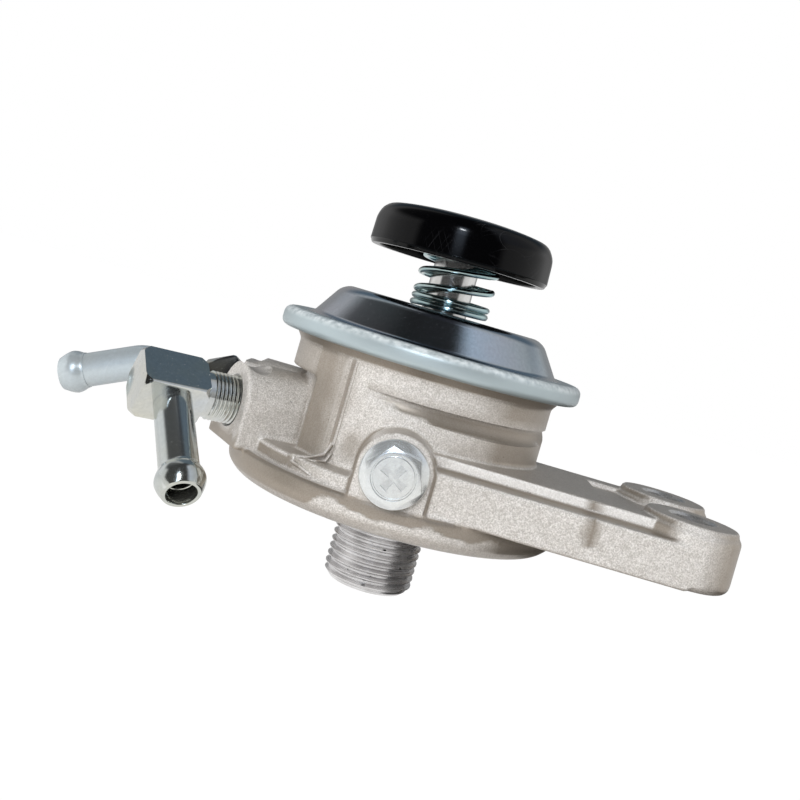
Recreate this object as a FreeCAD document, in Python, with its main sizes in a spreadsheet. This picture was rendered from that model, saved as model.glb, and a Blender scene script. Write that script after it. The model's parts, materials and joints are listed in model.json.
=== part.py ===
"""Diesel fuel filter head with a hand priming pump, in millimetres.

+Z runs up the pump's axis, the two-bolt arm points along +X and the bleed screw faces -Y.
The origin is where the axis meets the flat ring that the filter cartridge seals on.
"""
import FreeCAD, Part
import math
import os

import Sketcher
from FreeCAD import Placement, Rotation, Vector

doc = FreeCAD.newDocument("FuelFilterHead")
dims = doc.addObject("Spreadsheet::Sheet", "Dims")


# Driving dimensions

SIZES = (
    ("seat_r", 35.5, "radius of the disc that the filter seals on"),
    ("seat_t", 6.0, "thickness of the disc"),
    ("seat_inner_r", 26.0, "inner radius of the sealing ring"),
    ("seat_recess", 2.5, "depth of the recess inside the ring"),
    ("seat_bevel", 2.2, "bevelled lower edge of the disc"),
    ("cast_round", 0.8, "rounded edges of the casting"),
    ("step_back", 2.5, "how far the step above the disc stands back"),
    ("step_h", 2.8, "height of that step"),
    ("body_r", 27.5, "radius of the pump body"),
    ("waist_r", 24.2, "radius of the body between the ports"),
    ("waist_x", 20.5, "start of that waist, distance left of the axis"),
    ("waist_z", 23.5, "top of that waist"),
    ("neck_z", 29.0, "height where the collar flares to the rim"),
    ("flange_r", 31.3, "radius of the rim inside the crimp"),
    ("flange_z", 31.9, "underside of that rim"),
    ("clamp_z", 33.0, "face that the diaphragm lies on"),
    ("scoop_z", 24.6, "straight upper edge of the leaf-shaped hollow"),
    ("scoop_depth", 2.0, "its depth at the middle"),
    ("scoop_round", 4.2, "radius of its section"),
    ("scoop_shift", 4.7, "how far its ring is off the axis"),
    ("scoop_turn", 37.0, "where it is deepest, degrees right of the viewer"),
    ("chamber_r", 23.0, "radius of the pump chamber"),
    ("chamber_z", 25.0, "floor of the pump chamber"),
    ("column_x", 13.6, "parting ridge, distance left of the axis"),
    ("ridge_w", 0.5, "width of the parting ridge"),
    ("spigot_r", 9.525, "thread of the filter spigot, 3/4 inch across"),
    ("spigot_len", 17.3, "length of the spigot"),
    ("spigot_chamfer", 1.3, "chamfer at its end"),
    ("spigot_bore_r", 6.0, "bore of the spigot"),
    ("gallery_top", 16.8, "top of the bore inside the head"),
    ("arm_far", 10.4, "arm's far face, distance from the axis"),
    ("arm_ledge", 4.4, "how far the top rib stands back"),
    ("arm_ledge_z", 14.3, "height of the ledge"),
    ("arm_top_z", 16.7, "top of the arm"),
    ("bolt_x", 56.0, "bolt holes, distance from the axis"),
    ("bolt_spacing", 24.0, "distance between the bolt holes"),
    ("bolt_hole_r", 4.25, "radius of a bolt hole"),
    ("bolt_boss_r", 9.8, "radius of a bolt boss"),
    ("bolt_boss_z", 18.0, "top of a bolt boss"),
    ("bolt_boss_round", 1.2, "rounded edge of a bolt boss"),
    ("web_end", 6.5, "how far the web passes the bolt holes"),
    ("recess_x", 39.5, "start of the recess in the arm's top"),
    ("recess_rail", 5.2, "width of the rail beside the recess"),
    ("recess_depth", 1.1, "depth of the recess"),
    ("bleed_z", 12.2, "height of the bleed screw"),
    ("bleed_left", 1.0, "bleed screw, distance left of the axis"),
    ("bleed_boss_r", 7.3, "radius of its boss"),
    ("bleed_reach", 2.0, "how far its boss stands past the arm's near face"),
    ("bleed_depth", 22.0, "depth of its hole"),
    ("bleed_thread_r", 3.0, "radius of its thread"),
    ("bleed_duct_r", 1.2, "radius of the bleed duct"),
    ("port_boss_r", 8.3, "radius of a port boss"),
    ("port_thread_r", 4.9, "radius of a port thread"),
    ("port_depth", 11.0, "depth of a port thread"),
    ("port_duct_r", 2.2, "radius of the duct behind a port"),
    ("port_z", 13.6, "height of both ports"),
    ("port_foot_z", 5.4, "underside of the foot below a port"),
    ("port_bevel", 0.8, "chamfer of a port boss"),
    ("front_port_left", 36.1, "middle of the front port's face, left of the axis"),
    ("front_port_near", 13.0, "the same point, towards the viewer"),
    ("front_port_turn", 30.0, "front port, degrees towards the viewer"),
    ("rear_port_left", 38.0, "rear port's face, left of the axis"),
    ("rear_port_far", 6.0, "rear port's axis, away from the viewer"),
    ("front_stub", 6.6, "thread left showing on the front elbow"),
    ("rear_stub", 1.5, "thread left showing on the rear connector"),
    ("fitting_in", 9.0, "thread screwed into the port"),
    ("fitting_side", 10.0, "width across a fitting's square body"),
    ("fitting_corner", 0.9, "chamfer on the square's corners"),
    ("elbow_len", 13.0, "length of the elbow's square body"),
    ("elbow_at", 12.6, "elbow's tube, distance from the port's face"),
    ("elbow_drop", 33.0, "elbow tube, degrees below level"),
    ("connector_len", 7.0, "length of the connector's square body"),
    ("connector_end_r", 4.4, "radius of its coned far end"),
    ("tube_r", 3.7, "outer radius of a hose tube"),
    ("tube_bore_r", 2.6, "bore of a hose tube"),
    ("tube_socket", 2.5, "depth that a tube is brazed in"),
    ("front_tube_len", 22.0, "front tube from the body to its mouth"),
    ("bead_r", 4.65, "largest radius of a tube's bead"),
    ("bead_len", 5.6, "length of the bead and its nose"),
    ("mouth_r", 3.5, "outer radius of a tube's mouth"),
    ("rear_run", 11.8, "rear tube, straight part before the bend"),
    ("rear_bend_r", 7.0, "rear tube, radius of the bend"),
    ("rear_bend", 25.0, "rear tube, degrees of bend"),
    ("rear_tip_len", 16.3, "rear tube, straight part after the bend"),
    ("cover_top_z", 42.2, "top of the cover"),
    ("cover_t", 1.0, "thickness of the cover's sheet"),
    ("cover_top_r", 21.8, "radius of the cover's flat top"),
    ("cover_foot_r", 26.6, "radius where the cover's cone ends"),
    ("cover_bend", 2.4, "rounded shoulder of the cover"),
    ("rim_z", 35.0, "top of the cover's rim"),
    ("rim_r", 32.4, "radius of the crimped rim"),
    ("rim_bend", 1.1, "rounded edge of the crimped rim"),
    ("crimp_r", 29.6, "inner edge of the crimp"),
    ("bush_r", 7.0, "outer radius of the guide bush"),
    ("bush_flange_r", 9.0, "radius of the bush's flange"),
    ("bush_flange_t", 1.4, "thickness of the bush's flange"),
    ("rod_r", 4.85, "radius of the plunger rod"),
    ("rod_gap", 0.05, "running clearance round the rod"),
    ("hub_rise", 3.0, "underside of the knob's hub, above the knob's edge"),
    ("shank_r", 3.0, "radius of the rod's threaded ends"),
    ("seal_r", 6.1, "outer radius of the rod seal"),
    ("seal_t", 1.3, "height of the rod seal"),
    ("seal_rise", 0.4, "seal groove, height above the flange"),
    ("knob_r", 19.5, "radius of the knob"),
    ("knob_z", 52.5, "lower edge of the knob"),
    ("knob_h", 9.6, "height of the knob's rim"),
    ("knob_crown", 0.6, "crown of the knob's top"),
    ("knob_round", 3.6, "rounded shoulder of the knob"),
    ("knob_wall", 2.2, "wall of the knob"),
    ("knob_roof", 3.2, "thickness of the knob's roof"),
    ("hub_r", 6.4, "radius of the hub inside the knob"),
    ("insert_r", 5.0, "radius of the knob's insert"),
    ("insert_h", 4.6, "height of the insert"),
    ("spring_washer_r", 10.2, "radius of the spring's seat washer"),
    ("spring_washer_t", 0.8, "thickness of that washer"),
    ("spring_r", 7.75, "return spring, radius to the wire's middle"),
    ("wire_r", 0.6, "return spring, radius of the wire"),
    ("spring_turns", 3.0, "return spring, open turns"),
    ("diaphragm_t", 1.0, "thickness of the diaphragm"),
    ("rest_gap", 0.02, "upper plate to guide bush at rest"),
    ("plate_r", 15.0, "radius of the diaphragm plates"),
    ("plate_t", 1.2, "thickness of a diaphragm plate"),
    ("plate_lip", 1.4, "height of a plate's turned edge"),
    ("nut_r", 5.4, "diaphragm nut, radius over its corners"),
    ("nut_t", 2.4, "height of the diaphragm nut"),
    ("stroke", 7.0, "travel of the plunger"),
    ("flange_screw_r", 6.5, "radius of the bleed screw's flange"),
    ("flange_screw_t", 1.3, "thickness of that flange"),
    ("hex_flats", 9.4, "width across the bleed screw's flats"),
    ("hex_h", 2.8, "height of its hexagon"),
    ("cross_w", 1.7, "width of its cross recess"),
    ("cross_len", 6.0, "length of its cross recess"),
    ("cross_depth", 1.2, "depth of its cross recess"),
    ("bleed_thread_len", 12.0, "length of its thread"),
    ("bleed_washer_r", 6.0, "radius of its washer"),
    ("bleed_washer_t", 1.0, "thickness of its washer"),
    ("inlet_left", 16.5, "inlet valve, left of the axis"),
    ("outlet_right", 15.0, "outlet valve, right of the axis"),
    ("outlet_near", 4.0, "outlet valve, towards the viewer"),
    ("valve_r", 4.5, "radius of a valve pocket"),
    ("valve_h", 6.0, "depth of a valve pocket"),
    ("valve_duct_r", 2.5, "radius of the duct under a valve"),
    ("valve_seat_t", 2.0, "height of a valve seat"),
    ("valve_disc_r", 3.3, "radius of a valve disc"),
    ("valve_disc_t", 0.9, "thickness of a valve disc"),
    ("valve_wall", 0.7, "wall of a valve cage"),
    ("valve_wire_r", 0.2, "radius of a valve spring's wire"),
    ("valve_coil_r", 1.9, "valve spring, radius to the wire's middle"),
    ("valve_turns", 2.0, "turns of a valve spring"),
)

for row, (alias, number, note) in enumerate(SIZES, start=1):
    dims.set("A%d" % row, note)
    dims.set("B%d" % row, str(number))
    dims.setAlias("B%d" % row, alias)
doc.recompute()


def size(alias):
    """The number in one cell of the sheet."""
    return float(dims.get(alias))


def bound(text):
    """An expression that reads its words from the sheet: "a + b" becomes "Dims.a + Dims.b"."""
    words = [("Dims." + word) if word in ALIASES else word for word in text.split()]
    return " ".join(words)


ALIASES = {alias for alias, number, note in SIZES}


# Places that follow from other sizes

STEP_R = "( seat_r - step_back )"
BLEED_FACE = "( seat_r - step_back + bleed_reach )"
BOLT_PLACES = (("near", "( step_back + bolt_boss_r - seat_r )"),
               ("far", "( step_back + bolt_boss_r + bolt_spacing - seat_r )"))
VALVE_PLACES = {"inlet": ("-1 * inlet_left", "rear_port_far"), "outlet": ("outlet_right", "-1 * outlet_near")}


# Helpers: turned pieces, primitives and booleans

def origin_plane(body, role):
    """One of a body's own origin planes, found by its role."""
    return next(item for item in body.Origin.OriginFeatures if item.Role == role)


def outline_sketch(body, name, plane, corners):
    """A closed outline through corners, each a pair of expressions: distance out, height."""
    sketch = body.newObject("Sketcher::SketchObject", name)
    sketch.AttachmentSupport = (origin_plane(body, plane), [""])
    sketch.MapMode = "FlatFace"
    count = len(corners)
    start = [Vector(20 + 10 * math.cos(2 * math.pi * i / count), 10 * math.sin(2 * math.pi * i / count), 0)
             for i in range(count)]
    for i in range(count):
        sketch.addGeometry(Part.LineSegment(start[i], start[(i + 1) % count]))
    for i in range(count):
        sketch.addConstraint(Sketcher.Constraint("Coincident", i, 2, (i + 1) % count, 1))
    for i, (out, height) in enumerate(corners):
        place_corner(sketch, i, out, height)
    return sketch


def place_corner(sketch, i, out, height):
    """Tie the start of line i to its two expressions; "0" puts it on the sketch's axis."""
    if out == "0":
        sketch.addConstraint(Sketcher.Constraint("PointOnObject", i, 1, -2))
    else:
        at = sketch.addConstraint(Sketcher.Constraint("DistanceX", -1, 1, i, 1, 10.0 + i))
        sketch.setExpression("Constraints[%d]" % at, bound(out))
    if height == "0":
        sketch.addConstraint(Sketcher.Constraint("PointOnObject", i, 1, -1))
    else:
        at = sketch.addConstraint(Sketcher.Constraint("DistanceY", -1, 1, i, 1, 10.0 + i))
        sketch.setExpression("Constraints[%d]" % at, bound(height))


def turned(label, corners):
    """A piece turned about its own Z axis from an outline of (radius, height) corners."""
    body = doc.addObject("PartDesign::Body", label)
    body.Label = label
    sketch = outline_sketch(body, label + "_outline", "XZ_Plane", corners)
    turn = body.newObject("PartDesign::Revolution", label + "_turned")
    turn.Profile = sketch
    turn.ReferenceAxis = (sketch, ["V_Axis"])
    turn.Angle = 360
    doc.recompute()
    return body


def ring_edges(shape, radius, height):
    """Names of the circular edges of this radius at this height about the Z axis."""
    names = []
    for number, edge in enumerate(shape.Edges, start=1):
        curve = edge.Curve
        if isinstance(curve, Part.Circle) and abs(curve.Radius - radius) < 0.01:
            if abs(curve.Center.z - height) < 0.01:
                names.append("Edge%d" % number)
    return names


def round_rings(body, rings):
    """Round the circular edges of a turned piece: each ring is (radius, height, fillet expression)."""
    for radius, height, amount in rings:
        base = body.Tip
        fillet = body.newObject("PartDesign::Fillet", body.Label + "_round")
        fillet.Base = (base, ring_edges(base.Shape, radius, height))
        fillet.setExpression("Radius", bound(amount))
        doc.recompute()
    return body


def placed(item, base=("0", "0", "0"), turn=None):
    """Put an object at three expressions, turned by a Rotation."""
    item.Placement = Placement(Vector(0, 0, 0), turn or Rotation())
    for axis, text in zip("xyz", base):
        if text != "0":
            item.setExpression("Placement.Base." + axis, bound(text))
    return item


def cylinder(name, radius, height, base=("0", "0", "0"), turn=None):
    item = doc.addObject("Part::Cylinder", name)
    item.setExpression("Radius", bound(radius))
    item.setExpression("Height", bound(height))
    return placed(item, base, turn)


def cone(name, radius_1, radius_2, height, base=("0", "0", "0"), turn=None):
    item = doc.addObject("Part::Cone", name)
    item.setExpression("Radius1", bound(radius_1))
    item.setExpression("Radius2", bound(radius_2))
    item.setExpression("Height", bound(height))
    return placed(item, base, turn)


def box(name, length, width, height, base=("0", "0", "0"), turn=None):
    item = doc.addObject("Part::Box", name)
    item.setExpression("Length", bound(length))
    item.setExpression("Width", bound(width))
    item.setExpression("Height", bound(height))
    return placed(item, base, turn)


def fused(name, items):
    item = doc.addObject("Part::MultiFuse", name)
    item.Shapes = items
    item.Refine = True
    return item


def cut(name, base, tool):
    item = doc.addObject("Part::Cut", name)
    item.Base = base
    item.Tool = tool
    item.Refine = True
    return item


def common(name, items):
    item = doc.addObject("Part::MultiCommon", name)
    item.Shapes = items
    return item


def edges_where(item, test):
    """Numbers of an object's edges that pass a test."""
    return [number for number, edge in enumerate(item.Shape.Edges, start=1) if test(edge)]


def softened(name, item, alias, test, chamfer=False):
    """Fillet or chamfer the edges that pass the test by the size in one cell."""
    doc.recompute()
    soft = doc.addObject("Part::Chamfer" if chamfer else "Part::Fillet", name)
    soft.Base = item
    amount = size(alias)
    soft.Edges = [(number, amount, amount) for number in edges_where(item, test)]
    doc.recompute()
    return soft


ALONG_MINUS_X = Rotation(Vector(0, 0, 1), Vector(-1, 0, 0))
ALONG_MINUS_Y = Rotation(Vector(0, 0, 1), Vector(0, -1, 0))
ALONG_PLUS_Y = Rotation(Vector(0, 0, 1), Vector(0, 1, 0))

# Directions of the front port and of the tube that leaves its elbow

port_angle = math.radians(size("front_port_turn"))
drop_angle = math.radians(size("elbow_drop"))
FRONT_OUT = Vector(-math.cos(port_angle), -math.sin(port_angle), 0)
FRONT_TUBE = Vector(math.sin(port_angle) * math.cos(drop_angle),
                    -math.cos(port_angle) * math.cos(drop_angle),
                    -math.sin(drop_angle))
FRONT_FRAME = Rotation(FRONT_TUBE, FRONT_OUT.cross(FRONT_TUBE), FRONT_OUT, "ZXY")
FRONT_TUBE_TURN = Rotation(Vector(0, 0, 1), FRONT_TUBE)


# Head casting

def head_outer():
    """The round body: sealing disc, step, pump body, neck and crimped rim, with the chamber in it."""
    body = turned("casting_round", (
        ("0", "seat_recess"), ("seat_inner_r", "seat_recess"), ("seat_inner_r", "0"),
        ("seat_r - seat_bevel", "0"), ("seat_r", "seat_bevel"), ("seat_r", "seat_t"),
        (STEP_R, "seat_t"), (STEP_R, "seat_t + step_h"), ("body_r", "seat_t + step_h"),
        ("body_r", "neck_z"), ("crimp_r", "flange_z"), ("flange_r", "flange_z"), ("flange_r", "clamp_z"),
        ("chamber_r", "clamp_z"), ("chamber_r", "chamber_z"), ("0", "chamber_z")))
    step = size("seat_r") - size("step_back")
    return round_rings(body, ((size("seat_r"), size("seat_bevel"), "cast_round"),
                              (size("seat_r"), size("seat_t"), "cast_round"),
                              (step, size("seat_t") + size("step_h"), "cast_round")))


def scoop():
    """Leaf-shaped hollow under the collar: a ring off the axis, kept below a straight edge."""
    turn = math.radians(size("scoop_turn"))
    ring = doc.addObject("Part::Torus", "casting_scoop_ring")
    ring.setExpression("Radius1", bound("body_r - scoop_depth + scoop_shift + scoop_round"))
    ring.setExpression("Radius2", bound("scoop_round"))
    ring.Placement = Placement(Vector(-math.sin(turn), math.cos(turn), 0) * size("scoop_shift")
                               + Vector(0, 0, size("scoop_z")), Rotation())
    below = cylinder("casting_scoop_below", "2 * body_r", "scoop_z")
    return common("casting_scoop", [ring, below])


def waist():
    """Hollow on the port side: outside the waist's radius, left of the smooth upright."""
    slab = box("casting_waist_slab", "2 * body_r", "4 * body_r", "waist_z - seat_t - step_h",
               ("-2 * body_r - waist_x", "-2 * body_r", "seat_t + step_h"))
    return cut("casting_waist", slab, cylinder("casting_waist_core", "waist_r", "neck_z"))


def parting_ridge():
    """Thin flash line down the front of the body, left of the bleed screw."""
    return box("casting_ridge", "ridge_w", "3 * ridge_w", "neck_z - seat_t",
               ("-1 * column_x - ridge_w", "-1 * sqrt( body_r ^2 - column_x ^2) - ridge_w", "seat_t"))


def arm():
    """The two-bolt arm: a lower slab, a rib set back on top, and two round bosses."""
    lower = box("arm_lower", "bolt_x", STEP_R + " + arm_far", "arm_ledge_z - seat_t",
                ("0", "-1 * " + STEP_R, "seat_t"))
    upper = box("arm_upper", "bolt_x", STEP_R + " + arm_far - 2 * arm_ledge", "arm_top_z - seat_t",
                ("0", "arm_ledge - " + STEP_R, "seat_t"))
    web = box("arm_web", "web_end", "bolt_spacing", "arm_top_z - seat_t",
              ("bolt_x", "bolt_boss_r - " + STEP_R, "seat_t"))
    bosses = []
    for side, place in BOLT_PLACES:
        bosses.append(cylinder("arm_boss_" + side, "bolt_boss_r", "bolt_boss_z - seat_t",
                               ("bolt_x", place, "seat_t")))
    slab = fused("arm_slab", [lower, upper, web] + bosses)
    recess = box("arm_recess", "bolt_x - recess_x - 0.6 * bolt_boss_r",
                 STEP_R + " + arm_far - 2 * arm_ledge - 2 * recess_rail", "recess_depth",
                 ("recess_x", "arm_ledge + recess_rail - " + STEP_R, "arm_top_z - recess_depth"))
    top = size("bolt_boss_z")
    soft = softened("arm_soft", cut("arm_cut", slab, recess), "bolt_boss_round",
                    lambda edge: edge.BoundBox.ZMin > top - 0.01)
    inside = cylinder("arm_inside", "chamber_r", "2 * cover_top_z", ("0", "0", "0"))
    return cut("arm", soft, inside)


def port_boss(name, out):
    """Round boss on a square foot, its mouth chamfered; it starts inside the body."""
    reach = "port_boss_r + 12"
    inward = Rotation(Vector(0, 0, 1), out * -1)
    level = Rotation(Vector(1, 0, 0), out * -1)
    barrel = at_point(cylinder(name + "_boss", "port_boss_r", reach), mouth(name), inward)
    face = mouth(name)
    soft = softened(name + "_boss_soft", barrel, "port_bevel",
                    lambda edge: (edge.CenterOfMass - face).Length < 0.01, chamfer=True)
    foot = box(name + "_foot", reach, "2 * port_boss_r", "port_z - port_foot_z")
    side = level.multVec(Vector(0, -size("port_boss_r"), 0))
    at_point(foot, face + side - Vector(0, 0, size("port_z") - size("port_foot_z")), level)
    return [soft, foot]


def head_casting():
    spigot = cylinder("spigot_body", "spigot_r", "spigot_len - spigot_chamfer + seat_t",
                      ("0", "0", "spigot_chamfer - spigot_len"))
    spigot_end = cone("spigot_end", "spigot_r - spigot_chamfer", "spigot_r", "spigot_chamfer",
                      ("0", "0", "-1 * spigot_len"))
    bleed_boss = cylinder("bleed_boss", "bleed_boss_r", BLEED_FACE + " - chamber_r / 2",
                          ("-1 * bleed_left", "-1 * chamber_r / 2", "bleed_z"), ALONG_MINUS_Y)
    bleed_foot = box("bleed_foot", "2 * bleed_boss_r", BLEED_FACE + " - chamber_r / 2", "bleed_z - seat_t",
                     ("-1 * bleed_left - bleed_boss_r", "-1 * " + BLEED_FACE, "seat_t"))
    hollows = fused("casting_hollows", [scoop(), waist()])
    trunk = cut("casting_trunk", head_outer(), hollows)
    solid = fused("casting_solid", [trunk, parting_ridge(), arm(), spigot, spigot_end, bleed_boss, bleed_foot]
                  + port_boss("front", FRONT_OUT) + port_boss("rear", Vector(-1, 0, 0)))
    return cut("head_casting", solid, fused("casting_holes", head_holes()))


def mouth(name):
    """The middle of a port's face."""
    if name == "front":
        return Vector(-size("front_port_left"), -size("front_port_near"), size("port_z"))
    return Vector(-size("rear_port_left"), size("rear_port_far"), size("port_z"))


def head_holes():
    """Every drilled or cored space: ports, ducts, valve pockets, spigot bore, bolt holes, bleed hole."""
    holes = [cylinder("spigot_bore", "spigot_bore_r", "spigot_len + gallery_top", ("0", "0", "-1 * spigot_len"))]
    reach = -(mouth("front") * FRONT_OUT * -1)
    for name, out, length in (("front", FRONT_OUT, reach - size("spigot_bore_r") / 2),
                              ("rear", Vector(-1, 0, 0), size("rear_port_left") - size("inlet_left"))):
        inward = Rotation(Vector(0, 0, 1), out * -1)
        holes.append(at_point(cylinder(name + "_thread", "port_thread_r", "port_depth"), mouth(name), inward))
        duct = at_point(cylinder(name + "_duct", "port_duct_r", "port_depth"), mouth(name), inward)
        duct.setExpression("Height", None)
        duct.Height = length
        holes.append(duct)
    for name, place in VALVE_PLACES.items():
        holes.append(cylinder(name + "_pocket", "valve_r", "valve_h", place + ("chamber_z - valve_h",)))
    holes.append(cylinder("inlet_drop", "valve_duct_r", "chamber_z - valve_h - port_z",
                          VALVE_PLACES["inlet"] + ("port_z",)))
    holes.append(cylinder("outlet_drop", "valve_duct_r", "chamber_z - valve_h", VALVE_PLACES["outlet"] + ("0",)))
    for side, place in BOLT_PLACES:
        holes.append(cylinder("bolt_hole_" + side, "bolt_hole_r", "bolt_boss_z", ("bolt_x", place, "0")))
    holes.append(cylinder("bleed_hole", "bleed_thread_r + rod_gap", "bleed_depth",
                          ("-1 * bleed_left", "-1 * " + BLEED_FACE, "bleed_z"), ALONG_PLUS_Y))
    holes.append(cylinder("bleed_duct", "bleed_duct_r", "bleed_z",
                          ("-1 * bleed_left", "bleed_depth - 2 * bleed_duct_r - " + BLEED_FACE, "0")))
    return holes


# Cover, knob, rod and spring

def pump_cover():
    """Pressed steel cover, one sheet thick, its rim curled under the casting's rim."""
    sheet = "cover_t"
    body = turned("pump_cover", (
        ("bush_r", "cover_top_z"), ("cover_top_r", "cover_top_z"), ("cover_foot_r", "rim_z"),
        ("rim_r", "rim_z"), ("rim_r", "flange_z - " + sheet), ("crimp_r", "flange_z - " + sheet),
        ("crimp_r", "flange_z"), ("rim_r - " + sheet, "flange_z"), ("rim_r - " + sheet, "rim_z - " + sheet),
        ("cover_foot_r - " + sheet, "rim_z - " + sheet), ("cover_top_r - " + sheet, "cover_top_z - " + sheet),
        ("bush_r", "cover_top_z - " + sheet)))
    return round_rings(body, ((size("cover_top_r"), size("cover_top_z"), "cover_bend"),
                              (size("rim_r"), size("rim_z"), "rim_bend"),
                              (size("rim_r"), size("flange_z") - size("cover_t"), "rim_bend")))


def guide_bush():
    """Bush in the cover's hole, its flange underneath, with a groove for the seal."""
    top = "cover_top_z"
    flange = "cover_top_z - cover_t"
    low = "cover_top_z - cover_t - bush_flange_t"
    groove = "cover_top_z - cover_t - bush_flange_t + seal_rise"
    return turned("guide_bush", (
        ("rod_r + rod_gap", top), ("bush_r", top), ("bush_r", flange), ("bush_flange_r", flange),
        ("bush_flange_r", low), ("rod_r + rod_gap", low), ("rod_r + rod_gap", groove), ("seal_r", groove),
        ("seal_r", groove + " + seal_t"), ("rod_r + rod_gap", groove + " + seal_t")))


def rod_seal():
    low = "cover_top_z - cover_t - bush_flange_t + seal_rise"
    return turned("rod_seal", (("rod_r + rod_gap", low), ("seal_r", low), ("seal_r", low + " + seal_t"),
                               ("rod_r + rod_gap", low + " + seal_t")))


UPPER_PLATE = "cover_top_z - cover_t - bush_flange_t - rest_gap - plate_t"
LOWER_PLATE = "cover_top_z - cover_t - bush_flange_t - rest_gap - plate_t - diaphragm_t"
ROOF = "knob_z + knob_h - knob_roof"
ROD_TOP = "knob_z + hub_rise"


def push_knob():
    """Moulded cap with a crowned top, open underneath, and a hub round the insert."""
    body = turned("push_knob", (
        ("0", "knob_z + knob_h + knob_crown"), ("knob_r - 2 * knob_round", "knob_z + knob_h + knob_crown / 2"),
        ("knob_r", "knob_z + knob_h - knob_crown"), ("knob_r", "knob_z"), ("knob_r - knob_wall", "knob_z"),
        ("knob_r - knob_wall", ROOF), ("hub_r", ROOF), ("hub_r", ROD_TOP), ("insert_r", ROD_TOP),
        ("insert_r", ROD_TOP + " + insert_h"), ("0", ROD_TOP + " + insert_h")))
    return round_rings(body, ((size("knob_r"), size("knob_z") + size("knob_h") - size("knob_crown"),
                               "knob_round"),))


def knob_insert():
    return turned("knob_insert", (("shank_r", ROD_TOP), ("insert_r", ROD_TOP),
                                  ("insert_r", ROD_TOP + " + insert_h"), ("shank_r", ROD_TOP + " + insert_h")))


def spring_seat_washer():
    return turned("spring_seat_washer", (
        ("hub_r", ROOF + " - spring_washer_t"), ("spring_washer_r", ROOF + " - spring_washer_t"),
        ("spring_washer_r", ROOF), ("hub_r", ROOF)))


def plunger_rod():
    """Plain rod with a threaded shank at each end."""
    low = UPPER_PLATE + " + plate_t"
    end = LOWER_PLATE + " - plate_t - nut_t - 0.3"
    return turned("plunger_rod", (
        ("0", end), ("shank_r", end), ("shank_r", low), ("rod_r", low), ("rod_r", ROD_TOP),
        ("shank_r", ROD_TOP), ("shank_r", ROD_TOP + " + insert_h"), ("0", ROD_TOP + " + insert_h")))


def coil(radius, wire, heights):
    """A coil spring of round wire: heights are those of the wire's middle, one for each eighth turn."""
    points = [Vector(radius * math.cos(i * math.pi / 4), radius * math.sin(i * math.pi / 4), height)
              for i, height in enumerate(heights)]
    path = Part.BSplineCurve()
    path.interpolate(points)
    ring = Part.makeCircle(wire, points[0], path.tangent(path.FirstParameter)[0])
    return Part.Wire(path.toShape()).makePipeShell([Part.Wire(ring)], True, True)


def return_spring():
    """Two closed coils on the cover, open coils, and one closed coil under the knob's washer."""
    low = size("cover_top_z")
    wire = size("wire_r")
    length = size("knob_z") + size("knob_h") - size("knob_roof") - size("spring_washer_t") - low
    closed = 2.1 * wire
    open_rise = (length - 2 * wire - 2.5 * closed) / size("spring_turns")
    heights = [wire]
    eighths = round(8 * size("spring_turns"))
    for rise, count in ((closed, 12), (open_rise, eighths), (closed, 8)):
        for step in range(count):
            heights.append(heights[-1] + rise / 8)
    item = doc.addObject("Part::Feature", "return_spring")
    item.Shape = coil(size("spring_r"), wire, heights)
    return placed(item, ("0", "0", "cover_top_z"))


def pump_diaphragm():
    """Rubber diaphragm: a clamped flat rim and a raised flat middle, joined by a sloping wall."""
    rim = "chamber_r - 1"
    return turned("pump_diaphragm", (
        ("shank_r", LOWER_PLATE), ("plate_r - 1", LOWER_PLATE), (rim, "clamp_z"), ("flange_r", "clamp_z"),
        ("flange_r", "clamp_z + diaphragm_t"), (rim, "clamp_z + diaphragm_t"),
        ("plate_r - 1", UPPER_PLATE), ("shank_r", UPPER_PLATE)))


def upper_diaphragm_plate():
    low = UPPER_PLATE
    edge = "plate_r - plate_t"
    return turned("upper_diaphragm_plate", (
        ("shank_r", low), ("plate_r - 2 * plate_t", low), ("plate_r", low + " + plate_lip / 2"),
        ("plate_r", low + " + plate_lip / 2 + plate_t / 2"), (edge, low + " + plate_t"),
        ("shank_r", low + " + plate_t")))


def lower_diaphragm_plate():
    high = LOWER_PLATE
    edge = "plate_r - 2 * plate_t"
    return turned("lower_diaphragm_plate", (
        ("shank_r", high), (edge, high), ("plate_r", high + " - plate_lip"),
        ("plate_r - plate_t / 2", high + " - plate_lip - plate_t / 2"), (edge, high + " - plate_t"),
        ("shank_r", high + " - plate_t")))


def diaphragm_nut():
    """Hexagon nut under the lower plate."""
    place = ("0", "0", LOWER_PLATE + " - plate_t - nut_t")
    prism = doc.addObject("Part::Prism", "diaphragm_nut_hexagon")
    prism.Polygon = 6
    prism.setExpression("Circumradius", bound("nut_r"))
    prism.setExpression("Height", bound("nut_t"))
    placed(prism, place)
    return cut("diaphragm_nut", prism, cylinder("diaphragm_nut_hole", "shank_r", "nut_t", place))


# Bleed screw

def bleed_washer():
    body = turned("bleed_washer", (
        ("bleed_thread_r + rod_gap", "0"), ("bleed_washer_r", "0"), ("bleed_washer_r", "bleed_washer_t"),
        ("bleed_thread_r + rod_gap", "bleed_washer_t")))
    return placed(body, ("-1 * bleed_left", "-1 * " + BLEED_FACE, "bleed_z"), ALONG_MINUS_Y)


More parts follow.
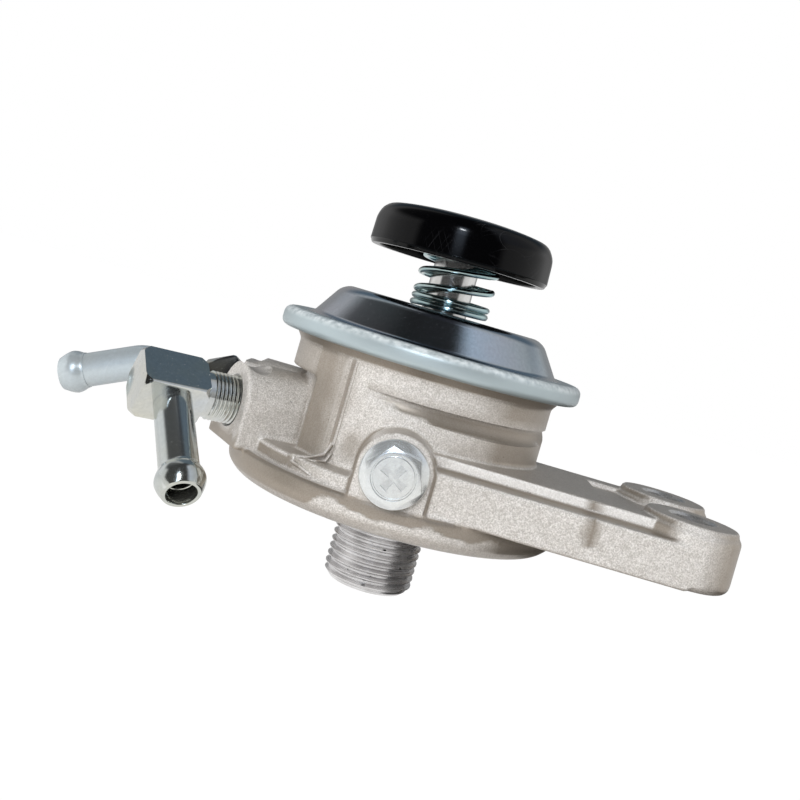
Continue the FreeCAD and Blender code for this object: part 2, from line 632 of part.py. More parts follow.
def bleed_screw():
    """Hexagon flange screw with a cross recess, its thread pointing into the boss."""
    base = ("-1 * bleed_left", "-1 * " + BLEED_FACE + " - bleed_washer_t", "bleed_z")
    shank = turned("bleed_screw_shank", (
        ("0", "-1 * bleed_thread_len"), ("bleed_thread_r", "-1 * bleed_thread_len"), ("bleed_thread_r", "0"),
        ("flange_screw_r", "0"), ("flange_screw_r", "flange_screw_t / 2"),
        ("hex_flats / 2", "flange_screw_t + 0.4"), ("0", "flange_screw_t + 0.4")))
    placed(shank, base, ALONG_MINUS_Y)
    head = doc.addObject("Part::Prism", "bleed_screw_hexagon")
    head.Polygon = 6
    head.setExpression("Circumradius", bound("hex_flats / 2 / cos(30)"))
    head.setExpression("Height", bound("flange_screw_t + hex_h"))
    placed(head, base, ALONG_MINUS_Y)
    bevel = cone("bleed_screw_bevel", "hex_flats / 2 + hex_h + flange_screw_t", "hex_flats / 2 - 0.2",
                 "flange_screw_t + hex_h", base, ALONG_MINUS_Y)
    top = "-1 * " + BLEED_FACE + " - bleed_washer_t - flange_screw_t - hex_h"
    arms = [box("cross_level", "cross_len", "cross_depth", "cross_w",
                ("-1 * bleed_left - cross_len / 2", top, "bleed_z - cross_w / 2")),
            box("cross_upright", "cross_w", "cross_depth", "cross_len",
                ("-1 * bleed_left - cross_w / 2", top, "bleed_z - cross_len / 2"))]
    solid = fused("bleed_screw_solid", [shank, common("bleed_screw_head", [head, bevel])])
    return cut("bleed_screw", solid, fused("bleed_screw_cross", arms))


# Hose fittings

def square_body(name, start, length, base, turn):
    """Square bar with chamfered long edges, starting past the stub of thread."""
    half = "-1 * fitting_side / 2"
    bar = doc.addObject("Part::Box", name + "_bar")
    bar.setExpression("Length", bound("fitting_side"))
    bar.setExpression("Width", bound("fitting_side"))
    bar.setExpression("Height", bound(length))
    corner = turn.multVec(Vector(size("fitting_side") / -2, size("fitting_side") / -2, size(start)))
    bar.Placement = Placement(base + corner, turn)
    axis = turn.multVec(Vector(0, 0, 1))
    long_edges = lambda edge: abs(edge.tangentAt(0).normalize().dot(axis)) > 0.99
    return softened(name + "_soft", bar, "fitting_corner", long_edges, chamfer=True)


def at_point(item, base, turn):
    item.Placement = Placement(base, turn)
    return item


def front_elbow():
    """Screwed elbow: thread, square body, a through way that turns the corner to the tube's socket."""
    base = mouth("front")
    body = square_body("front_elbow", "front_stub", "elbow_len", base, FRONT_FRAME)
    thread = cylinder("front_elbow_thread", "port_thread_r", "fitting_in + front_stub")
    at_point(thread, base - FRONT_OUT * size("fitting_in"), FRONT_FRAME)
    way = cylinder("front_elbow_way", "tube_bore_r", "fitting_in + elbow_at")
    at_point(way, base - FRONT_OUT * size("fitting_in"), FRONT_FRAME)
    middle = elbow_middle()
    turn_way = at_point(cylinder("front_elbow_turn", "tube_bore_r", "fitting_side"), middle, FRONT_TUBE_TURN)
    socket = cylinder("front_elbow_socket", "tube_r", "fitting_side")
    at_point(socket, middle + FRONT_TUBE * (size("fitting_side") / 2 - size("tube_socket")), FRONT_TUBE_TURN)
    solid = fused("front_elbow_solid", [body, thread])
    return cut("front_elbow", solid, fused("front_elbow_ways", [way, turn_way, socket]))


def elbow_middle():
    """Where the elbow's two ways meet."""
    return mouth("front") + FRONT_OUT * size("elbow_at")


def beaded_tip(name, length):
    """A straight hose tube from height 0 to its mouth, with a rounded bead behind the mouth."""
    bead = length + " - bead_len"
    body = turned(name, (
        ("tube_bore_r", "0"), ("tube_r", "0"), ("tube_r", bead), ("bead_r", bead + " + 0.3 * bead_len"),
        ("bead_r", bead + " + 0.6 * bead_len"), ("mouth_r", length), ("tube_bore_r", length)))
    return body


def front_hose_tube():
    body = beaded_tip("front_hose_tube", "front_tube_len + tube_socket")
    start = elbow_middle() + FRONT_TUBE * (size("fitting_side") / 2 - size("tube_socket"))
    return at_point(body, start, FRONT_TUBE_TURN)


def rear_connector():
    """Screwed connector: thread and square body, coned at its far end, with a straight way and the tube's socket."""
    base = mouth("rear")
    turn = Rotation(Vector(0, 0.7, 0.7), Vector(0, 0, 0), Vector(-1, 0, 0), "ZXY")
    bar = square_body("rear_connector", "rear_stub", "connector_len", base, turn)
    nose = at_point(cone("rear_connector_nose", "0.78 * fitting_side", "connector_end_r", "connector_len"),
                    base + Vector(-size("rear_stub"), 0, 0), ALONG_MINUS_X)
    body = common("rear_connector_body", [bar, nose])
    thread = at_point(cylinder("rear_connector_thread", "port_thread_r", "fitting_in + rear_stub"),
                      base + Vector(size("fitting_in"), 0, 0), ALONG_MINUS_X)
    way = at_point(cylinder("rear_connector_way", "tube_bore_r", "fitting_in + rear_stub + connector_len"),
                   base + Vector(size("fitting_in"), 0, 0), ALONG_MINUS_X)
    socket = at_point(cylinder("rear_connector_socket", "tube_r", "tube_socket"),
                      rear_tube_start(), ALONG_MINUS_X)
    solid = fused("rear_connector_solid", [body, thread])
    return cut("rear_connector", solid, fused("rear_connector_ways", [way, socket]))


def rear_tube_start():
    """Bottom of the connector's socket."""
    reach = size("rear_stub") + size("connector_len") - size("tube_socket")
    return mouth("rear") + Vector(-reach, 0, 0)


def rear_hose_tube():
    """Straight run, a bend downwards, and a beaded tip, bored through."""
    start = rear_tube_start()
    run = size("tube_socket") + size("rear_run")
    bend = math.radians(size("rear_bend"))
    bend_start = start + Vector(-run, 0, 0)
    centre = bend_start + Vector(0, 0, -size("rear_bend_r"))
    tip_dir = Vector(-math.cos(bend), 0, -math.sin(bend))
    bend_end = centre + Vector(-math.sin(bend), 0, math.cos(bend)) * size("rear_bend_r")
    # A torus piece lies in its own XY plane from its X axis on: X goes to +Z, Y to -X.
    bend_turn = Rotation(Vector(0, 0, 1), Vector(-1, 0, 0), Vector(0, -1, 0), "ZXY")
    parts = []
    ways = []
    for kind, radius, into in (("wall", "tube_r", parts), ("way", "tube_bore_r", ways)):
        straight = cylinder("rear_tube_run_" + kind, radius, "tube_socket + rear_run")
        into.append(at_point(straight, start, ALONG_MINUS_X))
        curve = doc.addObject("Part::Torus", "rear_tube_bend_" + kind)
        curve.setExpression("Radius1", bound("rear_bend_r"))
        curve.setExpression("Radius2", bound(radius))
        curve.setExpression("Angle3", bound("rear_bend"))
        into.append(at_point(curve, centre, bend_turn))
    tip = beaded_tip("rear_tube_tip", "rear_tip_len")
    parts.append(at_point(tip, bend_end, Rotation(Vector(0, 0, 1), tip_dir)))
    solid = fused("rear_tube_solid", parts)
    return cut("rear_hose_tube", solid, fused("rear_tube_ways", ways))


# Check valves

def valve(name, flip):
    """Seat, disc, spring and cage of one check valve, built upwards from a pocket's floor.

    The inlet valve opens into the chamber. The outlet valve is the same set, turned over.
    """
    if flip:
        base = VALVE_PLACES[name] + ("chamber_z",)
        turn = Rotation(Vector(1, 0, 0), 180)
    else:
        base = VALVE_PLACES[name] + ("chamber_z - valve_h",)
        turn = Rotation()
    lip = "valve_duct_r + 0.5"
    seat = turned(name + "_valve_seat", (
        ("valve_duct_r - 0.4", "0"), ("valve_r", "0"), ("valve_r", "valve_seat_t - 0.4"),
        (lip, "valve_seat_t - 0.4"), (lip, "valve_seat_t"), ("valve_duct_r - 0.4", "valve_seat_t")))
    disc = turned(name + "_valve_disc", (
        ("0", "valve_seat_t"), ("valve_disc_r", "valve_seat_t"),
        ("valve_disc_r", "valve_seat_t + valve_disc_t"), ("0", "valve_seat_t + valve_disc_t")))
    inner = "valve_r - valve_wall"
    roof = "valve_h - valve_wall"
    cage = turned(name + "_valve_cage", (
        (inner, "valve_seat_t - 0.4"), ("valve_r", "valve_seat_t - 0.4"), ("valve_r", "valve_h"),
        ("valve_disc_r / 2 - 0.2", "valve_h"), ("valve_disc_r / 2 - 0.2", roof), (inner, roof)))
    for item in (seat, disc, cage):
        placed(item, base, turn)
    return [seat, disc, cage, valve_spring(name, base, turn)]


def valve_spring(name, base, turn):
    """Small helix between the disc and the cage's roof."""
    wire = size("valve_wire_r")
    low = size("valve_seat_t") + size("valve_disc_t") + wire
    high = size("valve_h") - size("valve_wall") - wire
    count = round(8 * size("valve_turns"))
    heights = [low + (high - low) * step / count for step in range(count + 1)]
    item = doc.addObject("Part::Feature", name + "_valve_spring")
    item.Shape = coil(size("valve_coil_r"), wire, heights)
    return placed(item, base, turn)


# Build, check and write

def whole(item):
    """Stop if an object failed, or a sub-part is empty, invalid or more than one solid."""
    shape = item.Shape
    if shape.isNull() or not shape.isValid():
        raise RuntimeError(item.Label + ": shape is null or not valid")
    if len(shape.Solids) != 1:
        raise RuntimeError("%s: %d solids" % (item.Label, len(shape.Solids)))


def build():
    pieces = [head_casting(), pump_cover(), guide_bush(), rod_seal(), push_knob(), knob_insert(),
              spring_seat_washer(), plunger_rod(), return_spring(), pump_diaphragm(),
              upper_diaphragm_plate(), lower_diaphragm_plate(), diaphragm_nut(), bleed_washer(),
              bleed_screw(), front_elbow(), front_hose_tube(), rear_connector(), rear_hose_tube()]
    pieces += valve("inlet", False)
    pieces += valve("outlet", True)
    doc.recompute()
    for item in doc.Objects:
        if "Invalid" in item.State or "Error" in item.State:
            raise RuntimeError("%s failed: %s" % (item.Label, item.State))
    for item in pieces:
        whole(item)
    os.makedirs("parts", exist_ok=True)
    for item in pieces:
        item.Shape.exportStep(os.path.join("parts", item.Label + ".step"))
        print("%-24s %9.1f mm3" % (item.Label, item.Shape.Volume))


build()
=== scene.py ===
# %% [markdown]
# # A diesel fuel filter head with a hand priming pump
# This notebook dresses a finished CAD model. The CAD parts arrive as a fixed frame, in metres, with the
# filter's sealing face at height zero and the pump's axis on Z. Every cell builds one piece or one finish
# around that frame, and the frame itself is never moved.

# %% Load the frame
import json
import math

import bmesh
import bpy
from mathutils import Matrix, Vector, noise

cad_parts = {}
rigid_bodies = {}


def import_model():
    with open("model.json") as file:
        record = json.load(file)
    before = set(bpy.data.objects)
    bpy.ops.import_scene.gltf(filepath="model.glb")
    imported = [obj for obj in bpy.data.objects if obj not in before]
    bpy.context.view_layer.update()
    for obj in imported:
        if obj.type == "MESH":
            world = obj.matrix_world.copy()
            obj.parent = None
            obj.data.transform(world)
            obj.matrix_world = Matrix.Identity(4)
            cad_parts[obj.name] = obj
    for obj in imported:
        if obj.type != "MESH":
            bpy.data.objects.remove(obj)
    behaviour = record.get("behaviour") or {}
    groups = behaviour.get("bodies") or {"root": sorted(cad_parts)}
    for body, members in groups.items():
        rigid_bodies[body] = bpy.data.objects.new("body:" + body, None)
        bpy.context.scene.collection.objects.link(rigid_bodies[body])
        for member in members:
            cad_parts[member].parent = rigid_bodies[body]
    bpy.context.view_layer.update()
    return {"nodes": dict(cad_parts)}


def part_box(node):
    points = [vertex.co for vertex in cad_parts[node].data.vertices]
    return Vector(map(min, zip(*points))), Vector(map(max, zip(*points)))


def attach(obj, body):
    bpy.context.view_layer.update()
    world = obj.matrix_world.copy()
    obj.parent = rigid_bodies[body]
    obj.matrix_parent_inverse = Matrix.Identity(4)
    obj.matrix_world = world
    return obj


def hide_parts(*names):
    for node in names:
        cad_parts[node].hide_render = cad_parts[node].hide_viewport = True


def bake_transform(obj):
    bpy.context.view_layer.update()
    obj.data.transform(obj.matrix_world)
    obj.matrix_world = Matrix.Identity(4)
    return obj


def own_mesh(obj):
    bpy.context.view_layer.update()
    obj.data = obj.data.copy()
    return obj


for leftover in list(bpy.data.objects):
    bpy.data.objects.remove(leftover)
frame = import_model()
print("nodes:", len(frame["nodes"]))

# %% [markdown]
# ## The camera
# A product photograph is taken from a stand, and this one was held at an angle, so the part leans over in
# the picture. The camera is placed first. It looks level along +Y, at the height of the cover's top, and
# it is rolled about its own view line, which turns the picture and nothing else. The part hangs low in the
# frame, so the frame is shifted: a tilt would make the sides of the part run together downwards, and in
# the photograph they don't.

# %% Camera
MM = 0.001
ROLL = math.radians(16.3)
HORIZON_ABOVE_MIDDLE = 96 / 800

camera_data = bpy.data.cameras.new("studio_camera")
camera_data.lens = 45.9
camera_data.clip_start = 0.01
camera_data.shift_x = -HORIZON_ABOVE_MIDDLE * math.sin(ROLL)
camera_data.shift_y = -HORIZON_ABOVE_MIDDLE * math.cos(ROLL)
camera = bpy.data.objects.new("studio_camera", camera_data)
looking = Matrix.Rotation(math.radians(90), 4, "X") @ Matrix.Rotation(ROLL, 4, "Z")
camera.matrix_world = Matrix.Translation(Vector((-3.72, -217.0, 42.2)) * MM) @ looking
bpy.context.scene.collection.objects.link(camera)
bpy.context.scene.camera = camera
print("camera at", [round(c, 3) for c in camera.location])

# %% [markdown]
# ## Studio floor and background
# The background is plain white. A white world would also pour light on the part from every side, and
# metal would lose its dark reflections. The Light Path node separates the two jobs: rays from the camera
# see white, rays that light the part see a dimmer room, and mirror rays see the dark room with its
# softboxes.

# %% Node helpers
def node(tree, kind, inputs=None, **settings):
    """Add a node. Each input is a plain value or another node's output socket."""
    new = tree.nodes.new(kind)
    for key, value in settings.items():
        setattr(new, key, value)
    for key, value in (inputs or {}).items():
        if isinstance(value, bpy.types.NodeSocket):
            tree.links.new(value, new.inputs[key])
        else:
            new.inputs[key].default_value = value
    return new


def math_node(tree, operation, *values, clamp=False):
    """A Math node's output: values are numbers or sockets."""
    made = node(tree, "ShaderNodeMath", dict(enumerate(values)), operation=operation, use_clamp=clamp)
    return made.outputs[0]


def ramp(tree, factor, stops, interpolation="LINEAR"):
    """A colour ramp's colour output: stops are (position, grey or colour)."""
    made = node(tree, "ShaderNodeValToRGB", {"Fac": factor})
    made.color_ramp.interpolation = interpolation
    elements = made.color_ramp.elements
    while len(elements) < len(stops):
        elements.new(0.5)
    for element, (position, colour) in zip(elements, stops):
        element.position = position
        element.color = (colour, colour, colour, 1) if isinstance(colour, (int, float)) else (*colour, 1)
    return made.outputs["Color"]


def smooth_step(tree, value, low, high):
    """0 below low, 1 above high, smooth between."""
    made = node(tree, "ShaderNodeMapRange", {"Value": value, "From Min": low, "From Max": high},
                interpolation_type="SMOOTHSTEP")
    return made.outputs["Result"]


def colour_mix(tree, factor, first, second, **settings):
    """A Mix node's colour: the first at factor 0, the second at factor 1."""
    inputs = {"Factor": factor, 6: first, 7: second}
    return node(tree, "ShaderNodeMix", inputs, data_type="RGBA", **settings).outputs[2]


# %% [markdown]
# Polished zinc and black plastic show the room more than themselves, so the room is painted for them. Its
# walls are two rings of tones round the part, one level with it and one above, because a low mirror and a
# high mirror in the photograph see different things. A dark ceiling, a pale table below and one narrow
# bright streak complete it.

# %% Directions in the room
world = bpy.data.worlds.new("studio_room")
bpy.context.scene.world = world
world.use_nodes = True
room = world.node_tree
room.nodes.clear()

direction = node(room, "ShaderNodeSeparateXYZ", {0: node(room, "ShaderNodeTexCoord").outputs["Generated"]})
x_way, y_way, z_way = direction.outputs
toward_camera = math_node(room, "MULTIPLY", y_way, -1.0)
azimuth = math_node(room, "ARCTAN2", x_way, toward_camera)
turn = math_node(room, "MULTIPLY_ADD", azimuth, 0.5 / math.pi, 0.5)


def at_angle(degrees):
    """A place on the ramp for an azimuth: 0 is towards the camera, positive is to its right."""
    return 0.5 + degrees / 360


print("room is split by azimuth and height")

# %% Walls of the room
level_light = ramp(room, turn, (
    (0.0, 0.28), (at_angle(-150), 0.34), (at_angle(-122), 0.92), (at_angle(-66), 0.80), (at_angle(-58), 0.03),
    (at_angle(45), 0.03), (at_angle(54), 0.7), (at_angle(100), 0.95), (at_angle(128), 0.92),
    (at_angle(150), 0.34), (1.0, 0.28)))
high_light = ramp(room, turn, (
    (0.0, (0.11, 0.15, 0.19)), (at_angle(-150), (0.12, 0.16, 0.20)), (at_angle(-132), 0.50),
    (at_angle(-116), 0.10), (at_angle(-60), 0.02), (at_angle(38), 0.02), (at_angle(60), (0.60, 0.65, 0.75)),
    (at_angle(122), 0.50), (at_angle(140), (0.12, 0.16, 0.20)), (1.0, (0.11, 0.15, 0.19))))
mirror_room = colour_mix(room, smooth_step(room, z_way, 0.30, 0.55), level_light, high_light)
mirror_room = colour_mix(room, smooth_step(room, z_way, 0.94, 0.99), mirror_room, (0.03, 0.03, 0.035, 1))
mirror_room = colour_mix(room, smooth_step(room, z_way, -0.02, -0.12), mirror_room, (0.9, 0.88, 0.83, 1))
print("wall nodes:", len(room.nodes))

# %% Bright streak and background
STREAK_AT, STREAK_EDGE, STREAK_CORE = (math.radians(angle) for angle in (-7, 9, 3))
from_streak = math_node(room, "ABSOLUTE", math_node(room, "SUBTRACT", azimuth, STREAK_AT))
across_streak = smooth_step(room, from_streak, STREAK_EDGE, STREAK_CORE)
up_streak = math_node(room, "MULTIPLY", smooth_step(room, z_way, 0.05, 0.30),
                      smooth_step(room, z_way, 0.74, 0.60))
streak = math_node(room, "MULTIPLY", across_streak, up_streak)
mirror_room = colour_mix(room, streak, mirror_room, (3.3, 3.9, 4.8, 1))

rays = node(room, "ShaderNodeLightPath").outputs
soft_room = ramp(room, smooth_step(room, z_way, -0.6, 0.6),
                 ((0.0, (0.40, 0.375, 0.35)), (1.0, (0.17, 0.175, 0.185))), "EASE")
seen = colour_mix(room, rays["Is Glossy Ray"], soft_room, mirror_room)
seen = colour_mix(room, rays["Is Camera Ray"], seen, (1, 1, 1, 1))
room_light = node(room, "ShaderNodeBackground", {"Color": seen, "Strength": 1.0})
room.links.new(room_light.outputs[0], node(room, "ShaderNodeOutputWorld").inputs["Surface"])
print("room nodes:", len(room.nodes))

# %% [markdown]
# Every solid thing in this notebook starts as a bmesh build, which is a mesh that can be worked on, and
# ends as an object. One helper makes that step, for the studio's sheets and for the pieces of the part.

# %% Build to object
def object_of(build, name):
    """Turn a bmesh build into an object in the scene; the build is used up."""
    mesh = bpy.data.meshes.new(name)
    build.to_mesh(mesh)
    build.free()
    item = bpy.data.objects.new(name, mesh)
    bpy.context.scene.collection.objects.link(item)
    return item


def studio_sheet(name, matrix):
    """A flat sheet two units wide, brought to its size and place by a matrix."""
    build = bmesh.new()
    bmesh.ops.create_grid(build, x_segments=1, y_segments=1, size=1.0, matrix=matrix)
    return object_of(build, name)


# %% [markdown]
# The part stands on nothing in the photograph, only white. The floor shows as white to the camera, almost
# white to mirrors, and dull grey to the light that bounces up, which keeps the underside of the disc
# dark.

# %% Floor
FLOOR_HALF, FLOOR_Z = 6.0, -0.25
floor = studio_sheet("studio_floor", Matrix.Translation((0, 0, FLOOR_Z)) @ Matrix.Scale(FLOOR_HALF, 4))

floor_paint = bpy.data.materials.new("floor_paint")
floor_paint.use_nodes = True
paint = floor_paint.node_tree
paint.nodes.clear()
shaded = node(paint, "ShaderNodeBsdfDiffuse", {"Color": (0.50, 0.47, 0.44, 1)})
white = node(paint, "ShaderNodeEmission", {"Color": (1, 1, 1, 1), "Strength": 1.16})
looks = node(paint, "ShaderNodeLightPath").outputs
in_mirrors = math_node(paint, "MULTIPLY", looks["Is Glossy Ray"], 0.8)
direct = math_node(paint, "MAXIMUM", looks["Is Camera Ray"], in_mirrors, clamp=True)
mixed = node(paint, "ShaderNodeMixShader", {0: math_node(paint, "MULTIPLY", direct, 0.86),
                                            1: shaded.outputs[0], 2: white.outputs[0]})
paint.links.new(mixed.outputs[0], node(paint, "ShaderNodeOutputMaterial").inputs["Surface"])
floor.data.materials.append(floor_paint)
print("floor at", floor.data.vertices[0].co.z)

# %% [markdown]
# A mirror shows what stands beside it. Under the arm, the right end of the disc is almost black, so a
# dark card stands to its right, and only mirror rays see it.

# %% Dark card
CARD_HALF_HEIGHT, CARD_HALF_DEPTH, CARD_AT = 40, 135, Vector((85, 70, -42))
upright_card = Matrix.Translation(CARD_AT * MM) @ Matrix.Rotation(math.radians(-90), 4, "Y")
card_size = Matrix.Diagonal((CARD_HALF_HEIGHT * MM, CARD_HALF_DEPTH * MM, 1, 1))
card = studio_sheet("studio_card", upright_card @ card_size)
card_black = bpy.data.materials.new("card_black")
card_black.use_nodes = True
black = card_black.node_tree.nodes["Principled BSDF"].inputs
black["Base Color"].default_value = (0.01, 0.009, 0.008, 1)
black["Roughness"].default_value = 0.9
card.data.materials.append(card_black)
for way in ("visible_camera", "visible_diffuse", "visible_shadow", "visible_transmission"):
    setattr(card, way, False)
print("card at", CARD_AT[:])

# %% [markdown]
# The lamps are large squares, because soft light needs a large source. They don't show in mirrors, where
# the painted room does that work. One small flash does show, and gives the points of light on the knob
# and tubes.

# %% Lamps
def lamp(name, place, size, power, colour=(1, 1, 1), seen_in_mirrors=False):
    """A square area light, in millimetres, that looks at the middle of the part."""
    light = bpy.data.lights.new(name, "AREA")
    light.size = size * MM
    light.energy = power
    light.color = colour
    item = bpy.data.objects.new(name, light)
    item.location = Vector(place) * MM
    item.rotation_euler = (Vector((0, 0, 15)) * MM - item.location).to_track_quat("-Z", "Y").to_euler()
    item.visible_glossy = seen_in_mirrors
    item.visible_camera = False
    bpy.context.scene.collection.objects.link(item)


lamp("front_softbox", (-170, -900, 330), 380, 9.7)
lamp("left_softbox", (-800, -150, 120), 500, 3.0, (0.97, 0.98, 1.0))
lamp("right_softbox", (800, 60, 200), 500, 1.2, (1.0, 0.96, 0.92))
lamp("small_flash", (-74, -570, 415), 60, 0.8, (0.93, 0.97, 1.0), seen_in_mirrors=True)

# %% [markdown]
# ## Shared surface effects
# Metal and plastic are told apart by small things: the grain of a casting, the rings a lathe tool leaves,
# the patchy bloom of zinc plating, the bright line along a worn edge. Each effect is a node group with
# named sockets, built once and placed in every material that needs it with its own values.

# %% Group helper
def effect_group(name, inputs, outputs):
    """A shader node group: inputs are (name, kind, start value), outputs are (name, kind)."""
    tree = bpy.data.node_groups.new(name, "ShaderNodeTree")
    for label, kind, value in inputs:
        socket = tree.interface.new_socket(name=label, in_out="INPUT", socket_type="NodeSocket" + kind)
        if value is not None:
            socket.default_value = value
    for label, kind in outputs:
        tree.interface.new_socket(name=label, in_out="OUTPUT", socket_type="NodeSocket" + kind)
    return tree, tree.nodes.new("NodeGroupInput").outputs, tree.nodes.new("NodeGroupOutput").inputs


def scaled_noise(tree, vector, scale, detail=2.0, roughness=0.5):
    """A noise texture's value; scale is in waves per metre."""
    return node(tree, "ShaderNodeTexNoise", {"Vector": vector, "Scale": scale, "Detail": detail,
                                             "Roughness": roughness}).outputs["Fac"]


# %% [markdown]
# Shot blasting leaves tiny dents. A fine noise gives the dents, a broader one makes them uneven, and a
# few cells of a cell texture, picked by chance, are deeper pits.

# %% Cast grain
grain, given, wanted = effect_group(
    "cast_grain", [("Vector", "Vector", None), ("Scale", "Float", 1500.0), ("Pits", "Float", 0.5)],
    [("Height", "Float"), ("Tone", "Float"), ("Pit", "Float")])
fine = scaled_noise(grain, given["Vector"], given["Scale"], 3.0, 0.6)
broad = scaled_noise(grain, given["Vector"], math_node(grain, "MULTIPLY", given["Scale"], 0.16), 4.0, 0.6)
cells = node(grain, "ShaderNodeTexVoronoi", {"Vector": given["Vector"],
                                             "Scale": math_node(grain, "MULTIPLY", given["Scale"], 0.22)})
speck = smooth_step(grain, cells.outputs["Distance"], 0.16, 0.05)
chance = smooth_step(grain, scaled_noise(grain, given["Vector"], 260.0), 0.56, 0.66)
pit = math_node(grain, "MULTIPLY", math_node(grain, "MULTIPLY", speck, chance), given["Pits"], clamp=True)
height = math_node(grain, "ADD", fine, math_node(grain, "MULTIPLY", broad, 0.8))
grain.links.new(math_node(grain, "SUBTRACT", height, pit), wanted["Height"])
grain.links.new(math_node(grain, "ADD", math_node(grain, "MULTIPLY", fine, 0.8),
                          math_node(grain, "MULTIPLY", broad, 0.2)), wanted["Tone"])
grain.links.new(pit, wanted["Pit"])
print("cast grain nodes:", len(grain.nodes))

# %% [markdown]
# A cutting tool leaves rings round the axis. The noise here depends only on the distance from the axis
# and on the height, so it draws rings on flat faces and grooves on round ones.

# %% Turned rings
rings, given, wanted = effect_group(
    "turned_rings", [("Vector", "Vector", None), ("Rings", "Float", 2200.0), ("Unevenness", "Float", 0.4)],
    [("Height", "Float"), ("Tone", "Float")])
place = node(rings, "ShaderNodeSeparateXYZ", {0: given["Vector"]}).outputs
flat = node(rings, "ShaderNodeCombineXYZ", {0: place[0], 1: place[1]})
radius = node(rings, "ShaderNodeVectorMath", {0: flat.outputs[0]}, operation="LENGTH").outputs["Value"]
along = node(rings, "ShaderNodeCombineXYZ", {0: radius, 1: place[2]})
stripes = scaled_noise(rings, along.outputs[0], given["Rings"], 3.0, 0.7)
patches = scaled_noise(rings, given["Vector"], 180.0, 3.0)
rings.links.new(stripes, wanted["Height"])
centred = math_node(rings, "SUBTRACT", patches, 0.5)
uneven = math_node(rings, "MULTIPLY_ADD", centred, given["Unevenness"], stripes)
rings.links.new(uneven, wanted["Tone"])
print("turned ring nodes:", len(rings.nodes))

# %% [markdown]
# Zinc plating drifts between a cool and a warm grey in broad clouds, and shows fine bright crystals. The
# clouds are a slow noise, and the crystals are the middles of small cells.

# %% Zinc bloom
bloom, given, wanted = effect_group(
    "zinc_bloom", [("Vector", "Vector", None), ("Cool", "Color", (0.56, 0.64, 0.68, 1)),
                   ("Warm", "Color", (0.66, 0.64, 0.56, 1)), ("Warmth", "Float", 0.5),
                   ("Speckle", "Float", 0.3)],
    [("Color", "Color"), ("Rough", "Float"), ("Height", "Float")])
drift = scaled_noise(bloom, given["Vector"], 75.0, 3.0)
shift = math_node(bloom, "ADD", math_node(bloom, "MULTIPLY", math_node(bloom, "SUBTRACT", drift, 0.5), 2.2),
                  given["Warmth"], clamp=True)
hue = colour_mix(bloom, shift, given["Cool"], given["Warm"])
crystals = node(bloom, "ShaderNodeTexVoronoi",
                {"Vector": given["Vector"], "Scale": 2600.0, "Randomness": 1.0})
crystal_cores = smooth_step(bloom, crystals.outputs["Distance"], 0.35, 0.1)
spots = math_node(bloom, "MULTIPLY", crystal_cores, given["Speckle"])
mottle = scaled_noise(bloom, given["Vector"], 1400.0, 3.0, 0.65)
dull = math_node(bloom, "SUBTRACT", 1.08, math_node(bloom, "MULTIPLY", mottle, 0.25))
bloom.links.new(colour_mix(bloom, 1.0, hue, dull, blend_type="MULTIPLY"), wanted["Color"])
bloom.links.new(math_node(bloom, "ADD", math_node(bloom, "MULTIPLY", mottle, 0.5), spots), wanted["Rough"])
bloom.links.new(math_node(bloom, "ADD", mottle, math_node(bloom, "MULTIPLY", spots, 0.6)), wanted["Height"])
print("zinc bloom nodes:", len(bloom.nodes))

# %% [markdown]
# Edges are rubbed bright, and inner corners are painted darker as shade. Pointiness, which the renderer
# measures on the mesh, says how sharp the surface is, and a little noise makes the line ragged.

# %% Worn edges and shaded corners
wear_and_shade, given, wanted = effect_group(
    "edge_wear_and_corner_shade", [("Vector", "Vector", None), ("Pointiness", "Float", 0.5), ("From", "Float", 0.52),
                  ("To", "Float", 0.6)], [("Mask", "Float")])
centred = math_node(wear_and_shade, "SUBTRACT", scaled_noise(wear_and_shade, given["Vector"], 420.0, 4.0), 0.5)
ragged = math_node(wear_and_shade, "MULTIPLY_ADD", centred, 0.06, given["Pointiness"])
worn = node(wear_and_shade, "ShaderNodeMapRange", {"Value": ragged, "From Min": given["From"], "From Max": given["To"]},
            interpolation_type="SMOOTHSTEP")
wear_and_shade.links.new(worn.outputs["Result"], wanted["Mask"])
print("edge wear nodes:", len(wear_and_shade.nodes))

# %% [markdown]
# Handling leaves thin scratches in a few directions, in patches, and dust settles in specks. The
# scratches are the borders of cells that are stretched long.

# %% Scratches and dust
marks, given, wanted = effect_group(
    "handling_marks", [("Vector", "Vector", None), ("Scratches", "Float", 0.5), ("Dust", "Float", 0.3)],
    [("Scratch", "Float"), ("Dust", "Float")])
scratch_sets = []
for turn_about, stretch in (((0.3, 0.2, 0.6), (1.0, 0.035, 1.0)), ((0.9, 0.4, 2.1), (0.04, 1.0, 0.6))):
    turned_way = node(marks, "ShaderNodeMapping", {"Vector": given["Vector"], "Rotation": turn_about,
                                                   "Scale": stretch}, vector_type="TEXTURE")
    lines = node(marks, "ShaderNodeTexVoronoi", {"Vector": turned_way.outputs[0], "Scale": 28.0},
                 feature="DISTANCE_TO_EDGE")
    scratch_sets.append(smooth_step(marks, lines.outputs["Distance"], 0.012, 0.0))
both = math_node(marks, "MAXIMUM", *scratch_sets)
where = smooth_step(marks, scaled_noise(marks, given["Vector"], 110.0, 3.0), 0.5, 0.68)
here = math_node(marks, "MULTIPLY", both, where)
marks.links.new(math_node(marks, "MULTIPLY", here, given["Scratches"], clamp=True), wanted["Scratch"])
powder = smooth_step(marks, scaled_noise(marks, given["Vector"], 2400.0, 4.0, 0.7), 0.62, 0.74)
marks.links.new(math_node(marks, "MULTIPLY", powder, given["Dust"], clamp=True), wanted["Dust"])
print("effect groups:", ", ".join(sorted(tree.name for tree in bpy.data.node_groups)))


